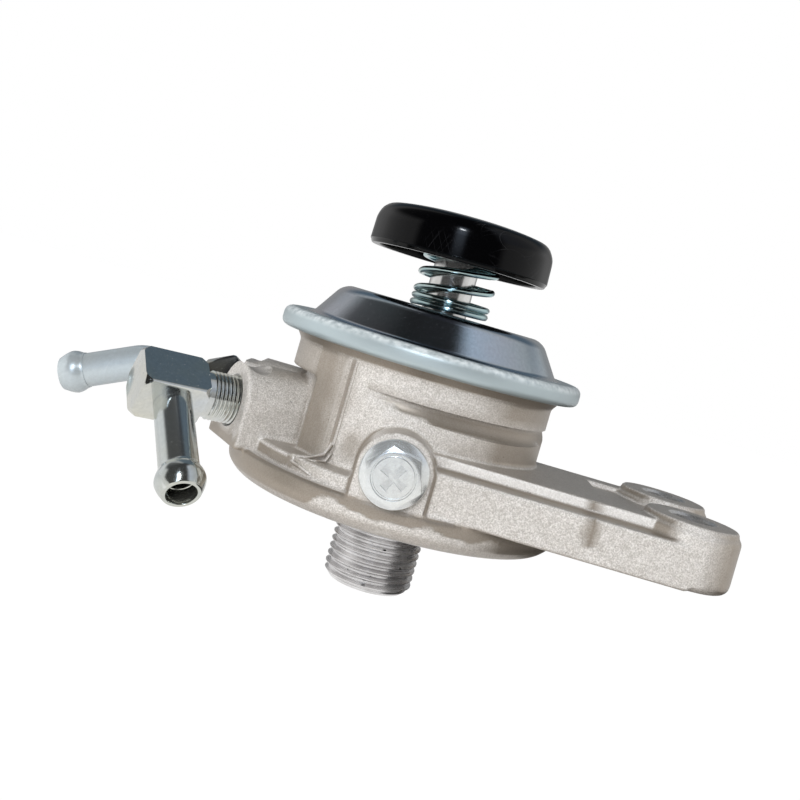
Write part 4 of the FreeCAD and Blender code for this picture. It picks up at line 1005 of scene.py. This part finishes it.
# %% [markdown]
# Then the casting goes to the drill and the mill. Each tool is a turned solid with the drill's own
# pointed end, and a small cone at the face where the hole is broken clean. The valve pockets open from
# the pump chamber.

# %% Machined holes and faces
def drill(base, axis, radius_mm, depth, countersink=0.0):
    """A drilled hole as a solid to cut away; it starts a little outside its face."""
    outline = [(0, -1), (radius_mm + countersink, -1), (radius_mm + countersink, 0), (radius_mm, countersink),
               (radius_mm, depth), (0, depth + radius_mm * 0.5)]
    if not countersink:
        outline = [(0, -1), (radius_mm, -1), (radius_mm, depth), (0, depth + radius_mm * 0.5)]
    return moved(lathe(outline, steps=72), pointing(base, axis))


PORT_DRILL_R, PORT_DUCT_R, PORT_DEEP, BLEED_DRILL_R = 4.9, 2.2, 11.0, 3.05
INLET_AT, OUTLET_AT, POCKET_R, DUCT_R, POCKET_DEEP = (-16.5, 6), (15, -4), 4.5, 2.5, 6.0
DOWN = (0, 0, -1)
cuts = [
    round_bar(CHAMBER_R, CHAMBER_Z, 50, 144),
    lathe([(22, CLAMP_Z), (40, CLAMP_Z), (40, 50), (22, 50)], steps=144),
    round_bar(SPIGOT_BORE_R, -40, 16.8),
    drill(FRONT_MOUTH, -FRONT_OUT, PORT_DRILL_R, PORT_DEEP, 0.5),
    drill(REAR_MOUTH, -REAR_OUT, PORT_DRILL_R, PORT_DEEP, 0.7),
    drill(FRONT_MOUTH, -FRONT_OUT, PORT_DUCT_R, 35.0),
    drill(REAR_MOUTH, -REAR_OUT, PORT_DUCT_R, 20.0),
    drill((BLEED_X, BLEED_FACE, BLEED_Z), (0, 1, 0), BLEED_DRILL_R, 22.0, 0.5),
    drill((*INLET_AT, CHAMBER_Z), DOWN, POCKET_R, POCKET_DEEP),
    drill((*INLET_AT, CHAMBER_Z - 5), DOWN, DUCT_R, 6.7),
    drill((*OUTLET_AT, CHAMBER_Z), DOWN, POCKET_R, POCKET_DEEP),
    moved(round_bar(DUCT_R, 0, 21, 48), Matrix.Translation((*OUTLET_AT, -1))),
]
for place_y in BOLT_PLACES:
    bolt_hole = lathe([(0, 0), (BOLT_R, 0), (BOLT_R, BOSS_TOP - 0.5), (BOLT_R + 0.5, BOSS_TOP),
                       (BOLT_R + 0.5, 30), (0, 30)], steps=72)
    cuts.append(moved(bolt_hole, Matrix.Translation((BOLT_X, place_y, 0))))
for tool in cuts:
    head = combined(head, tool, "DIFFERENCE")
print("cuts:", len(cuts))

# %% [markdown]
# A cut leaves faces as large as they can be. The finish will read numbers written on the vertices, and a
# large flat face has none in its middle, so long edges are halved until every face is small enough to
# carry them.

# %% Halve the long edges
LONGEST_EDGE, HALVINGS = 3.4, 5
for halving in range(HALVINGS):
    long_edges = [edge for edge in head.edges if edge.calc_length() > LONGEST_EDGE]
    bmesh.ops.subdivide_edges(head, edges=long_edges, cuts=1)
    bmesh.ops.triangulate(head, faces=[face for face in head.faces if len(face.verts) > 3])
head_piece = piece(head, "head_casting_skin", casting, "head", "casting", "head_casting", sharp=40)


# %% [markdown]
# The drilled and turned faces of the casting are bright metal. They are found by where they are: inside a
# hole's radius, on the port mouths, and on the ring that the filter seals on.

# %% Machined faces get their own finish
head_piece.data.materials.append(machined.material)


def is_machined(centre):
    """True for a face that a tool has cut; centre is in millimetres."""
    from_axis = math.hypot(centre.x, centre.y)
    if from_axis < CHAMBER_R + 0.05 and centre.z > CHAMBER_Z - 6.5:
        return True
    if from_axis < 31 and centre.z > CLAMP_Z - 0.05:
        return True
    if from_axis < SPIGOT_BORE_R + 0.05:
        return True
    if centre.z < 0.35 and RECESS_R + 0.2 < from_axis < 33.0:
        return True
    for place_y in BOLT_PLACES:
        if math.hypot(centre.x - BOLT_X, centre.y - place_y) < BOLT_R + 0.55:
            return True
    for mouth, out in ((FRONT_MOUTH, FRONT_OUT), (REAR_MOUTH, REAR_OUT)):
        offset = centre - mouth
        depth = offset.dot(out)
        if depth > -11.5 and (offset - out * depth).length < 5.5:
            return True
    return math.hypot(centre.x - BLEED_X, centre.z - BLEED_Z) < 3.6 and centre.y < -12


cut_faces = 0
for face in head_piece.data.polygons:
    if is_machined(face.center / MM):
        face.material_index = 1
        cut_faces += 1
print("machined faces:", cut_faces)

# %% [markdown]
# Blasting does not reach every face alike. The skin stays smooth under the collar and in the hollow below
# it, beside the upright, on the disc's edge and ends, on the arm's top, end and sides, and under the port
# boss. Its colour is painted darker there: painted shade for places under an overhang and for faces that
# turn up, down or away from the front lamp. Smooth metal mirrors the dark side of the room as well.
# Each place is a product of soft limits, and the largest counts. A second number paints a highlight on
# the arm's long rib, where the light falls. Both are written on the vertices, as the casting's finish
# expects.

# %% Smooth skin and painted shade
def between(value, low, high, soft=0.4):
    """1 inside the limits, falling to 0 over a soft edge."""
    return max(0.0, min(1.0, (value - low) / soft, (high - value) / soft))


def shaded_smooth_share(at, normal):
    """How smooth the skin is, and so how much shade is painted, at a point in millimetres."""
    from_axis = math.hypot(at.x, at.y)
    drift = noise.noise(at * 0.22) * 1.6
    turned_away = math.degrees(math.atan2(normal.x, -normal.y))
    left_end = -40 if at.z > 23.2 else -21.2
    upright_side = (0.7 * between(at.z, 8.9, 32, 0.6) * between(at.x, left_end - 1, -14.2, 1.4)
                    * between(from_axis, 0, 28.0))
    edge_low = 3.6 + drift * 0.8 - 4.4 * between(-at.x, 13, 99, 6)
    disc_edge = between(at.z, edge_low, 6.3, 0.3) * between(from_axis, 34.6, 40, 0.3)
    flare = between(at.z, 29.1, 32.5, 0.3) * between(from_axis, 20, 32)
    leaf_face = between(at.z, 19.0, 24.58, 0.1) * between(from_axis, 20, 27.35, 0.12) * between(at.x, -12, 40)
    # Painted shade: arm_top, side, disc_end and under follow the way a face turns. The leaf, flare, disc edge
    # and under-leaf places lie under overhangs. Each darkens where shade falls.
    arm_top = (between(normal.z, 0.75, 2, 0.2) * between(at.z, 8, 30)
               * (0.55 if at.x > 20 or at.z < 12 else 0.5))
    groove = (between(at.z, 13.7, 14.9, 0.3) * between(at.y, ARM_NEAR + 0.6, ledge_y + 0.5, 0.3)
              * between(at.x, 6, 58))
    side = 0.95 * between(abs(turned_away), 25 + drift * 3, 400, 15) * between(normal.z, -0.7, 0.7, 0.2)
    if at.x < -21 and (normal.x > 0 or at.z > 8):
        side = 0.0
    arm_end = 0.8 * between(at.x, 57.5, 90, 4) * between(normal.z, -0.8, 0.8, 0.2)
    disc_end = between(turned_away, 42, 400, 14) * between(at.z, -1, 6.4, 0.3) * between(from_axis, 28, 40)
    foot = 0.9 * between(at.x, -60, -33) * between(normal.z, -2, 0.1, 0.2) * between(at.z, 3, 8)
    under = 0.4 * between(-normal.z, 0.3, 2, 0.3)
    beside_boss = 0.6 * between(at.x, -12.9, -7.5, 2) * between(at.z, 9.5, 17, 2)
    under_leaf = (0.75 * between(at.x, 4, 30, 6) * between(at.z, 15.4, 19.6, 0.8)
                  * between(from_axis, 20, 27.7))
    return max(upright_side, disc_edge, flare, leaf_face, arm_top, arm_end, groove, side, disc_end, foot,
               under, beside_boss, under_leaf)


def painted_rib_highlight_share(at, normal):
    """How much highlight is painted on the long rib at a point in millimetres."""
    return (between(at.z, LEDGE_Z + 0.5, ARM_TOP - 0.1, 0.3) * between(at.x, 6, 51, 4)
            * between(at.y, ARM_NEAR - 1, ledge_y + 0.5, 0.3) * between(-normal.y, 0.6, 2, 0.2))


# %% Write the numbers on the vertices
def write_on_vertices(name, share_at):
    """Store a number on every vertex of the casting; returns how many are over one half."""
    numbers = head_piece.data.attributes.new(name, "FLOAT", "POINT").data
    for v, number in zip(head_piece.data.vertices, numbers):
        number.value = share_at(v.co / MM, v.normal)
    return sum(number.value > 0.5 for number in numbers)


print("smooth vertices:", write_on_vertices("shaded_smooth_skin", shaded_smooth_share))
# The second count is of vertices where the rib's painted highlight is over one half.
print("rubbed vertices:", write_on_vertices("painted_rib_highlight", painted_rib_highlight_share))

# %% [markdown]
# ## The filter spigot
# The cartridge screws on a short pipe thread of three quarters of an inch, sixteen turns to the inch. Its
# profile is spun with a rise, the end is chamfered by keeping only what lies inside a turned blank, and
# the bore goes right through.

# %% Spigot
SPIGOT_R, SPIGOT_PITCH, SPIGOT_END, SPIGOT_TOOTH = 9.45, 25.4 / 16, -17.3, 0.95
NECK_R = SPIGOT_R - 0.9
spigot = screw_thread(SPIGOT_R, SPIGOT_TOOTH, SPIGOT_PITCH, SPIGOT_END, 1.2, steps=96)
blank = lathe([(0, SPIGOT_END), (SPIGOT_R - 1.4, SPIGOT_END), (SPIGOT_R + 0.05, SPIGOT_END + 1.5),
               (SPIGOT_R + 0.05, 0.6), (NECK_R, 1.2), (NECK_R, 1.3), (0, 1.3)], steps=96)
spigot = combined(spigot, blank, "INTERSECT")
spigot = combined(spigot, round_bar(NECK_R, 1.0, 4), "UNION")
spigot = combined(spigot, lathe([(0, -30), (6.8, -30), (6.8, SPIGOT_END), (SPIGOT_BORE_R, SPIGOT_END + 0.8),
                                 (SPIGOT_BORE_R, 9), (0, 9)], steps=96), "DIFFERENCE")
piece(spigot, "filter_spigot_thread", threaded, "head", "casting", sharp=28)

# %% [markdown]
# ## The pump cover
# The cover is pressed from one sheet of steel and crimped round the casting's rim. A closed outline of
# the sheet, inside and outside, is turned once: the rounded corners are vertex bevels on the outline, so
# the sheet keeps an even thickness.

# %% Cover
SHEET, COVER_HOLE, TUCK_R, TUCK_Z = 1.0, 7.0, 29.8, 31.82
COVER_TOP, RIM_Z, RIM_R, RIM_LOW = 42.2, 35.0, 32.4, 30.9
cover = lathe([(COVER_HOLE, COVER_TOP), (21.8, COVER_TOP), (26.6, RIM_Z), (RIM_R, RIM_Z), (RIM_R, RIM_LOW),
               (TUCK_R, RIM_LOW), (TUCK_R, TUCK_Z), (RIM_R - SHEET, TUCK_Z), (RIM_R - SHEET, RIM_Z - SHEET),
               (26.0, RIM_Z - SHEET), (21.1, COVER_TOP - SHEET), (COVER_HOLE, COVER_TOP - SHEET)],
              {1: 2.0, 2: 0.9, 3: 1.6, 4: 1.3, 8: 0.4, 9: 0.7, 10: 1.4}, steps=192, segments=6)
piece(cover, "pressed_cover", pressed_zinc, "head", "zinc_sheet", "pump_cover")

# %% [markdown]
# ## The push knob
# The knob is a thick moulded cap. Its top is gently crowned and its shoulder is a large radius, which is
# what draws the long soft reflections. Underneath it is hollow, with a hub round the brass insert. It
# sits a little crooked on its rod, as a moulded knob on a threaded shank does.

# %% Knob
KNOB_R, KNOB_Z, KNOB_TOP, ROOF_Z = 19.45, 52.5, 62.65, 58.9
KNOB_WALL, HUB_R, HUB_Z, INSERT_R, INSERT_TOP = 2.2, 6.4, 55.5, 5.0, 60.1
knob = lathe([(0, KNOB_TOP), (8, KNOB_TOP - 0.12), (14.6, KNOB_TOP - 0.55), (KNOB_R - 0.25, KNOB_TOP - 1.6),
              (KNOB_R - 0.05, KNOB_Z + 1.0), (KNOB_R - 0.2, KNOB_Z + 0.85), (KNOB_R - 0.55, KNOB_Z + 0.05),
              (KNOB_R - KNOB_WALL, KNOB_Z + 0.05), (KNOB_R - KNOB_WALL, ROOF_Z), (HUB_R, ROOF_Z),
              (HUB_R, HUB_Z), (INSERT_R, HUB_Z), (INSERT_R, INSERT_TOP), (0, INSERT_TOP)],
             {1: 3, 2: 2.2, 3: 3.4, 6: 0.25, 7: 0.35, 8: 1.0, 10: 0.3}, steps=192, segments=8)

LEAN, HUB_CLEAR, CROWN_Z = math.radians(-0.6), 7, 60.5
lean = (Matrix.Translation((0, 0, KNOB_Z)) @ Matrix.Rotation(LEAN, 4, "Y")
        @ Matrix.Translation((0, 0, -KNOB_Z)))
for v in knob.verts:
    in_skirt = math.hypot(v.co.x, v.co.y) > HUB_CLEAR and v.co.z < ROOF_Z + 0.01
    if in_skirt or v.co.z > CROWN_Z:
        v.co = lean @ v.co
piece(knob, "moulded_knob", knob_black, "plunger", "black_knob", "push_knob")

# %% [markdown]
# ## The return spring
# A coil spring is a round wire wound on a mandrel. The wire's section is a small circle that is spun an
# eighth of a turn at a time, with a rise that changes from closed coils to open coils and back. The
# spring shortens as the knob goes down.

# %% Spring winder
def wound_spring(radius_mm, wire, rises, steps=6, sides=14):
    """Spin a wire section about Z, one eighth of a turn for each rise."""
    build = bmesh.new()
    ring = bmesh.ops.create_circle(build, segments=sides, radius=wire)["verts"]
    bmesh.ops.rotate(build, cent=(0, 0, 0), matrix=Matrix.Rotation(math.pi / 2, 3, "X"), verts=ring)
    bmesh.ops.translate(build, vec=(radius_mm, 0, wire), verts=ring)
    front = build.verts[:] + build.edges[:]
    bmesh.ops.edgeloop_fill(build, edges=build.edges[:])
    for rise in rises:
        front = bmesh.ops.spin(build, geom=front, cent=(0, 0, 0), axis=(0, 0, 1), dvec=(0, 0, rise / steps),
                               angle=math.pi / 4, steps=steps)["geom_last"]
    bmesh.ops.edgeloop_fill(build, edges=[item for item in front if isinstance(item, bmesh.types.BMEdge)])
    bmesh.ops.remove_doubles(build, verts=build.verts, dist=0.0005)
    bmesh.ops.recalc_face_normals(build, faces=build.faces)
    return build


# %% Return spring
SPRING_R, WIRE_R, SPRING_LOW, SPRING_HIGH = 7.85, 0.68, COVER_TOP, 58.1
half_turns = (0.70, 0.75, 0.70, 0.75, 3.2, 0.5, 3.2, 0.5, 2.2, 0.6, 0.7, 0.7)
height_share = (SPRING_HIGH - SPRING_LOW - 2 * WIRE_R) / sum(half_turns)
rises = [half * height_share / 4 for half in half_turns for eighth in range(4)]
spring = wound_spring(SPRING_R, WIRE_R, rises)
bmesh.ops.rotate(spring, cent=(0, 0, 0), matrix=Matrix.Rotation(math.pi, 3, "Z"), verts=spring.verts)
SPRING_ASIDE = 0.8
moved(spring, Matrix.Translation((SPRING_ASIDE, 0, SPRING_LOW)))
spring_piece = piece(spring, "wound_return_spring", spring_steel, "head", "spring_wire", "return_spring",
                     sharp=60)
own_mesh(spring_piece)

# %% [markdown]
# ## The bleed screw
# Air is let out of the head by loosening this hexagon screw. Its head has a broad flange, a raised ring
# round a cross recess, and a short thread behind. It is built pointing up and then laid on its boss.

# %% Hexagon and flange
SCREW_SEAT = Vector((BLEED_X, BLEED_FACE - 1.0, BLEED_Z))
FLATS_FOOT, FLATS_TOP, HEX_FROM, HEX_HIGH, HEX_TURN = 10.0, 9.6, 0.2, 3.9, math.radians(15)
hexagon = bmesh.new()
bmesh.ops.create_cone(hexagon, cap_ends=True, segments=6, radius1=FLATS_FOOT / 2 / math.cos(math.pi / 6),
                      radius2=FLATS_TOP / 2 / math.cos(math.pi / 6), depth=HEX_HIGH)
bmesh.ops.translate(hexagon, vec=(0, 0, HEX_FROM + HEX_HIGH / 2), verts=hexagon.verts)
bmesh.ops.rotate(hexagon, cent=(0, 0, 0), matrix=Matrix.Rotation(HEX_TURN, 3, "Z"), verts=hexagon.verts)
chamfered = lathe([(0, -0.5), (8, -0.5), (8, 3.0), (4.85, 3.95), (4.6, 4.05), (0, 4.05)], {3: 0.2}, steps=96)
hexagon = combined(hexagon, chamfered, "INTERSECT")
flange = lathe([(0, 0), (6.35, 0), (6.35, 0.8), (6.1, 1.05), (4.5, 2.0), (0, 2.0)], {1: 0.2, 2: 0.3},
               steps=96)
screw = combined(hexagon, flange, "UNION")
dish = lathe([(0, 3.9), (3.6, 3.9), (3.75, 3.8), (3.95, 3.8), (4.1, 4.1), (4.1, 7), (0, 7)], {2: 0.05},
             steps=96)
screw = combined(screw, dish, "DIFFERENCE")
print("screw head faces:", len(screw.faces))

# %% Cross recess and thread
CROSS_ANGLES, CROSS_REACH, CROSS_FLOOR = (60, 150, 240, 330), 2.6, 3.66
OUTER_SHARE, INNER_SHARE, FLOOR_SHARE = 0.86, 0.5, 0.85
for angle in CROSS_ANGLES:
    arm_cut = block((-0.5, -1, CROSS_FLOOR), (CROSS_REACH, 1, 9))
    for v in arm_cut.verts:
        v.co.y *= OUTER_SHARE if v.co.x > 1 else INNER_SHARE
        if v.co.z < 5:
            v.co.y *= FLOOR_SHARE
    about_z = Matrix.Rotation(math.radians(angle), 3, "Z")
    bmesh.ops.rotate(arm_cut, cent=(0, 0, 0), matrix=about_z, verts=arm_cut.verts)
    screw = combined(screw, arm_cut, "DIFFERENCE")
screw_shank = screw_thread(3.0, 0.5, 1.0, -12.0, 0.4, steps=48)
screw = combined(screw, screw_shank, "UNION")
moved(screw, pointing(SCREW_SEAT, (0, -1, 0), (1, 0, 0)))
piece(screw, "bleed_screw_turned", bleed_steel, "bleed_bolt", "bleed_steel", "bleed_screw", sharp=28)

# %% [markdown]
# ## Hose fittings
# Each fitting is a short piece of square bar with a thread turned on one end, screwed into its port. A
# steel tube is brazed into it, with a rounded bead behind the mouth that keeps the hose from slipping
# off.

# %% Fitting parts
FITTING, FITTING_IN, TUBE_R, BORE_R = 10.0, 9.0, 3.7, 2.6


def square_bar(start, length, cone, end_r):
    """Square bar from its thread on, its two ends turned: cone is how long the far end's cone is."""
    bar = block((-FITTING / 2, -FITTING / 2, start), (FITTING / 2, FITTING / 2, start + length), 0.5, 2,
                only=upright)
    turned_ends = lathe([(0, start), (6.0, start), (7.1, start + 1.6), (7.0, start + length - cone),
                         (end_r, start + length), (0, start + length)], {1: 0.2, 4: 0.3}, steps=96)
    return combined(bar, turned_ends, "INTERSECT")


def fitting_thread(stub):
    """The thread with its run-out, from inside the port to the square."""
    bar = screw_thread(4.88, 0.32, 0.8, -FITTING_IN, stub - 1.6, steps=64)
    return combined(bar, round_bar(4.55, stub - 1.8, stub + 1, 64), "UNION")


def beaded_tube(length):
    """A hose tube up from height zero to its mouth, with the bead, the nose and the bore."""
    bead = length - 5.6
    return lathe([(BORE_R, 0.0), (TUBE_R, 0.0), (TUBE_R, bead), (TUBE_R + 0.14, bead + 0.05),
                  (TUBE_R + 0.2, bead + 0.5), (4.6, bead + 1.9), (4.62, bead + 3.3), (3.45, length),
                  (2.8, length), (2.72, length - 0.4), (2.72, length - 3.4), (BORE_R, length - 3.5)],
                 {4: 0.3, 5: 0.7, 6: 1.4, 7: 0.25, 8: 0.15}, steps=96)


def tube_socket(low, shoulder, high, steps):
    """The bore of a fitting and the wider socket that takes the tube, as a solid to cut away."""
    wide = TUBE_R + 0.02
    return lathe([(0, low), (BORE_R, low), (BORE_R, shoulder), (wide, shoulder), (wide, high), (0, high)],
                 steps=steps)


# %% Front elbow
ELBOW_AT, ELBOW_STUB, ELBOW_LONG = 12.6, 6.6, 13.0
DROP, DROP_SHOULDER, DROP_LONG = math.radians(33), 2.5, 24.5
TUBE_WAY = Vector((0.5 * math.cos(DROP), -math.cos(math.radians(30)) * math.cos(DROP), -math.sin(DROP)))
elbow_turn = pointing(FRONT_MOUTH, FRONT_OUT, TUBE_WAY)
elbow = combined(square_bar(ELBOW_STUB, ELBOW_LONG, 1.6, 6.0), fitting_thread(ELBOW_STUB), "UNION")
elbow = combined(elbow, round_bar(BORE_R, -12, ELBOW_AT, 48), "DIFFERENCE")
moved(elbow, elbow_turn)
elbow_middle = FRONT_MOUTH + FRONT_OUT * ELBOW_AT
socket = moved(tube_socket(-0.5, DROP_SHOULDER, 9, 64), pointing(elbow_middle, TUBE_WAY))
elbow = combined(elbow, socket, "DIFFERENCE")
piece(elbow, "front_elbow_body", zinc_fitting, "head", "zinc_fitting", "front_elbow", sharp=30)

front_tube = beaded_tube(DROP_LONG)
moved(front_tube, pointing(elbow_middle + TUBE_WAY * DROP_SHOULDER, TUBE_WAY))
piece(front_tube, "front_beaded_tube", zinc_drop, "head", "zinc_tube", "front_hose_tube")

# %% Rear connector
REAR_STUB, REAR_LONG, REAR_CONE, REAR_SHOULDER = 1.5, 7.0, 5.4, 6.0
connector = combined(square_bar(REAR_STUB, REAR_LONG, REAR_CONE, 4.4), fitting_thread(REAR_STUB), "UNION")
connector = combined(connector, tube_socket(-12, REAR_SHOULDER, 12, 48), "DIFFERENCE")
moved(connector, pointing(REAR_MOUTH, REAR_OUT, (0, 1, 1)))
piece(connector, "rear_connector_body", zinc_fitting, "head", "zinc_fitting", "rear_connector", sharp=30)

# %% [markdown]
# The rear tube is bent after turning, as a pipe bender does it: the straight part and the tail keep their
# shape, and every ring of the middle is moved on to an arc. A few extra rings are cut in first, so that
# the arc has places to bend.

# %% Rear tube
RUN, BEND_R, BEND, TAIL, BEND_RINGS = 14.3, 7.0, math.radians(25), 16.3, 10
rear_tube = beaded_tube(RUN + BEND_R * BEND + TAIL)
for ring in range(BEND_RINGS + 1):
    bmesh.ops.bisect_plane(rear_tube, geom=rear_tube.verts[:] + rear_tube.edges[:] + rear_tube.faces[:],
                           dist=0.0001, plane_co=(0, 0, RUN + BEND_R * BEND * ring / BEND_RINGS),
                           plane_no=(0, 0, 1))
for v in rear_tube.verts:
    angle = min(max((v.co.z - RUN) / BEND_R, 0.0), BEND)
    rest = v.co.z - RUN - BEND_R * angle if v.co.z > RUN + BEND_R * BEND else min(v.co.z - RUN, 0.0)
    side = v.co.x
    v.co.x = side - (BEND_R + side) * (1 - math.cos(angle)) - rest * math.sin(angle)
    v.co.z = RUN + (BEND_R + side) * math.sin(angle) + rest * math.cos(angle)
tube_start = REAR_MOUTH + Vector((-REAR_SHOULDER, 0, 0))
moved(rear_tube, pointing(tube_start, REAR_OUT, (0, 0, 1)))
piece(rear_tube, "rear_beaded_tube", zinc_tube, "head", "zinc_tube", "rear_hose_tube")

# %% [markdown]
# ## The diaphragm
# The diaphragm is a moulded rubber sheet. Its rim is clamped under the cover and its middle moves with
# the rod.

# %% Diaphragm
MIDDLE_R, MIDDLE_LOW, MIDDLE_TOP, RUBBER = 3.0, 37.59, 38.57, 0.99
diaphragm = lathe([(MIDDLE_R, MIDDLE_LOW), (14.0, MIDDLE_LOW), (18.0, 35.8), (22.0, CLAMP_Z),
                   (31.25, CLAMP_Z), (31.25, CLAMP_Z + RUBBER), (22.4, CLAMP_Z + RUBBER), (18.6, 36.7),
                   (14.4, MIDDLE_TOP), (MIDDLE_R, MIDDLE_TOP)],
                  {1: 0.8, 2: 1.2, 3: 1.0, 6: 1.0, 7: 1.2, 8: 0.8}, steps=144)
bmesh.ops.scale(diaphragm, vec=(MM, MM, MM), verts=diaphragm.verts)
diaphragm_piece = object_of(diaphragm, "moulded_diaphragm")
diaphragm_piece.data.shade_smooth()
diaphragm_piece.data.materials.append(rubber.material)
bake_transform(diaphragm_piece)
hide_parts("pump_diaphragm")
print("diaphragm faces:", len(diaphragm_piece.data.polygons))

# %% [markdown]
# ## Check valve springs
# A weak little spring holds each valve disc on its seat. It is wound like the large one and shortens as
# its disc lifts.

# %% Valve springs
SMALL_R, SMALL_WIRE_R, EIGHTHS = 1.9, 0.2, 16
for side in ("inlet", "outlet"):
    low, high = (corner.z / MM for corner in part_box(side + "_valve_spring"))
    middle = sum(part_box(side + "_valve_seat"), Vector()) / 2 / MM
    rise = (high - low - 2 * SMALL_WIRE_R) / EIGHTHS
    small = wound_spring(SMALL_R, SMALL_WIRE_R, [rise] * EIGHTHS, steps=4, sides=8)
    moved(small, Matrix.Translation((middle.x, middle.y, low)))
    small_piece = piece(small, side + "_wound_spring", spring_steel, "head", "spring_wire",
                        side + "_valve_spring", sharp=60)
    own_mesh(small_piece)

# %% [markdown]
# ## Finishes for the CAD pieces that stay
# The plain turned pieces keep their CAD shapes: the rod, the guide bush, washers, plates and valve parts.
# Each takes a finish from the shop above.

# %% Finishes on CAD nodes
kept_finishes = {
    "plunger_rod": rod_steel, "guide_bush": bronze, "rod_seal": rubber, "knob_insert": brass,
    "spring_seat_washer": washer_steel,
    "upper_diaphragm_plate": zinc_sheet, "lower_diaphragm_plate": zinc_sheet,
    "diaphragm_nut": zinc_fitting, "bleed_washer": washer_steel,
    "inlet_valve_seat": brass, "outlet_valve_seat": brass,
    "inlet_valve_cage": brass, "outlet_valve_cage": brass,
    "inlet_valve_disc": rubber, "outlet_valve_disc": rubber,
}
for name, finish in kept_finishes.items():
    item = frame["nodes"][name]
    item.data.materials.clear()
    item.data.materials.append(finish.material)
print("CAD pieces with a new finish:", len(kept_finishes))

# %% Finish
bpy.context.scene.view_settings.view_transform = "Standard"
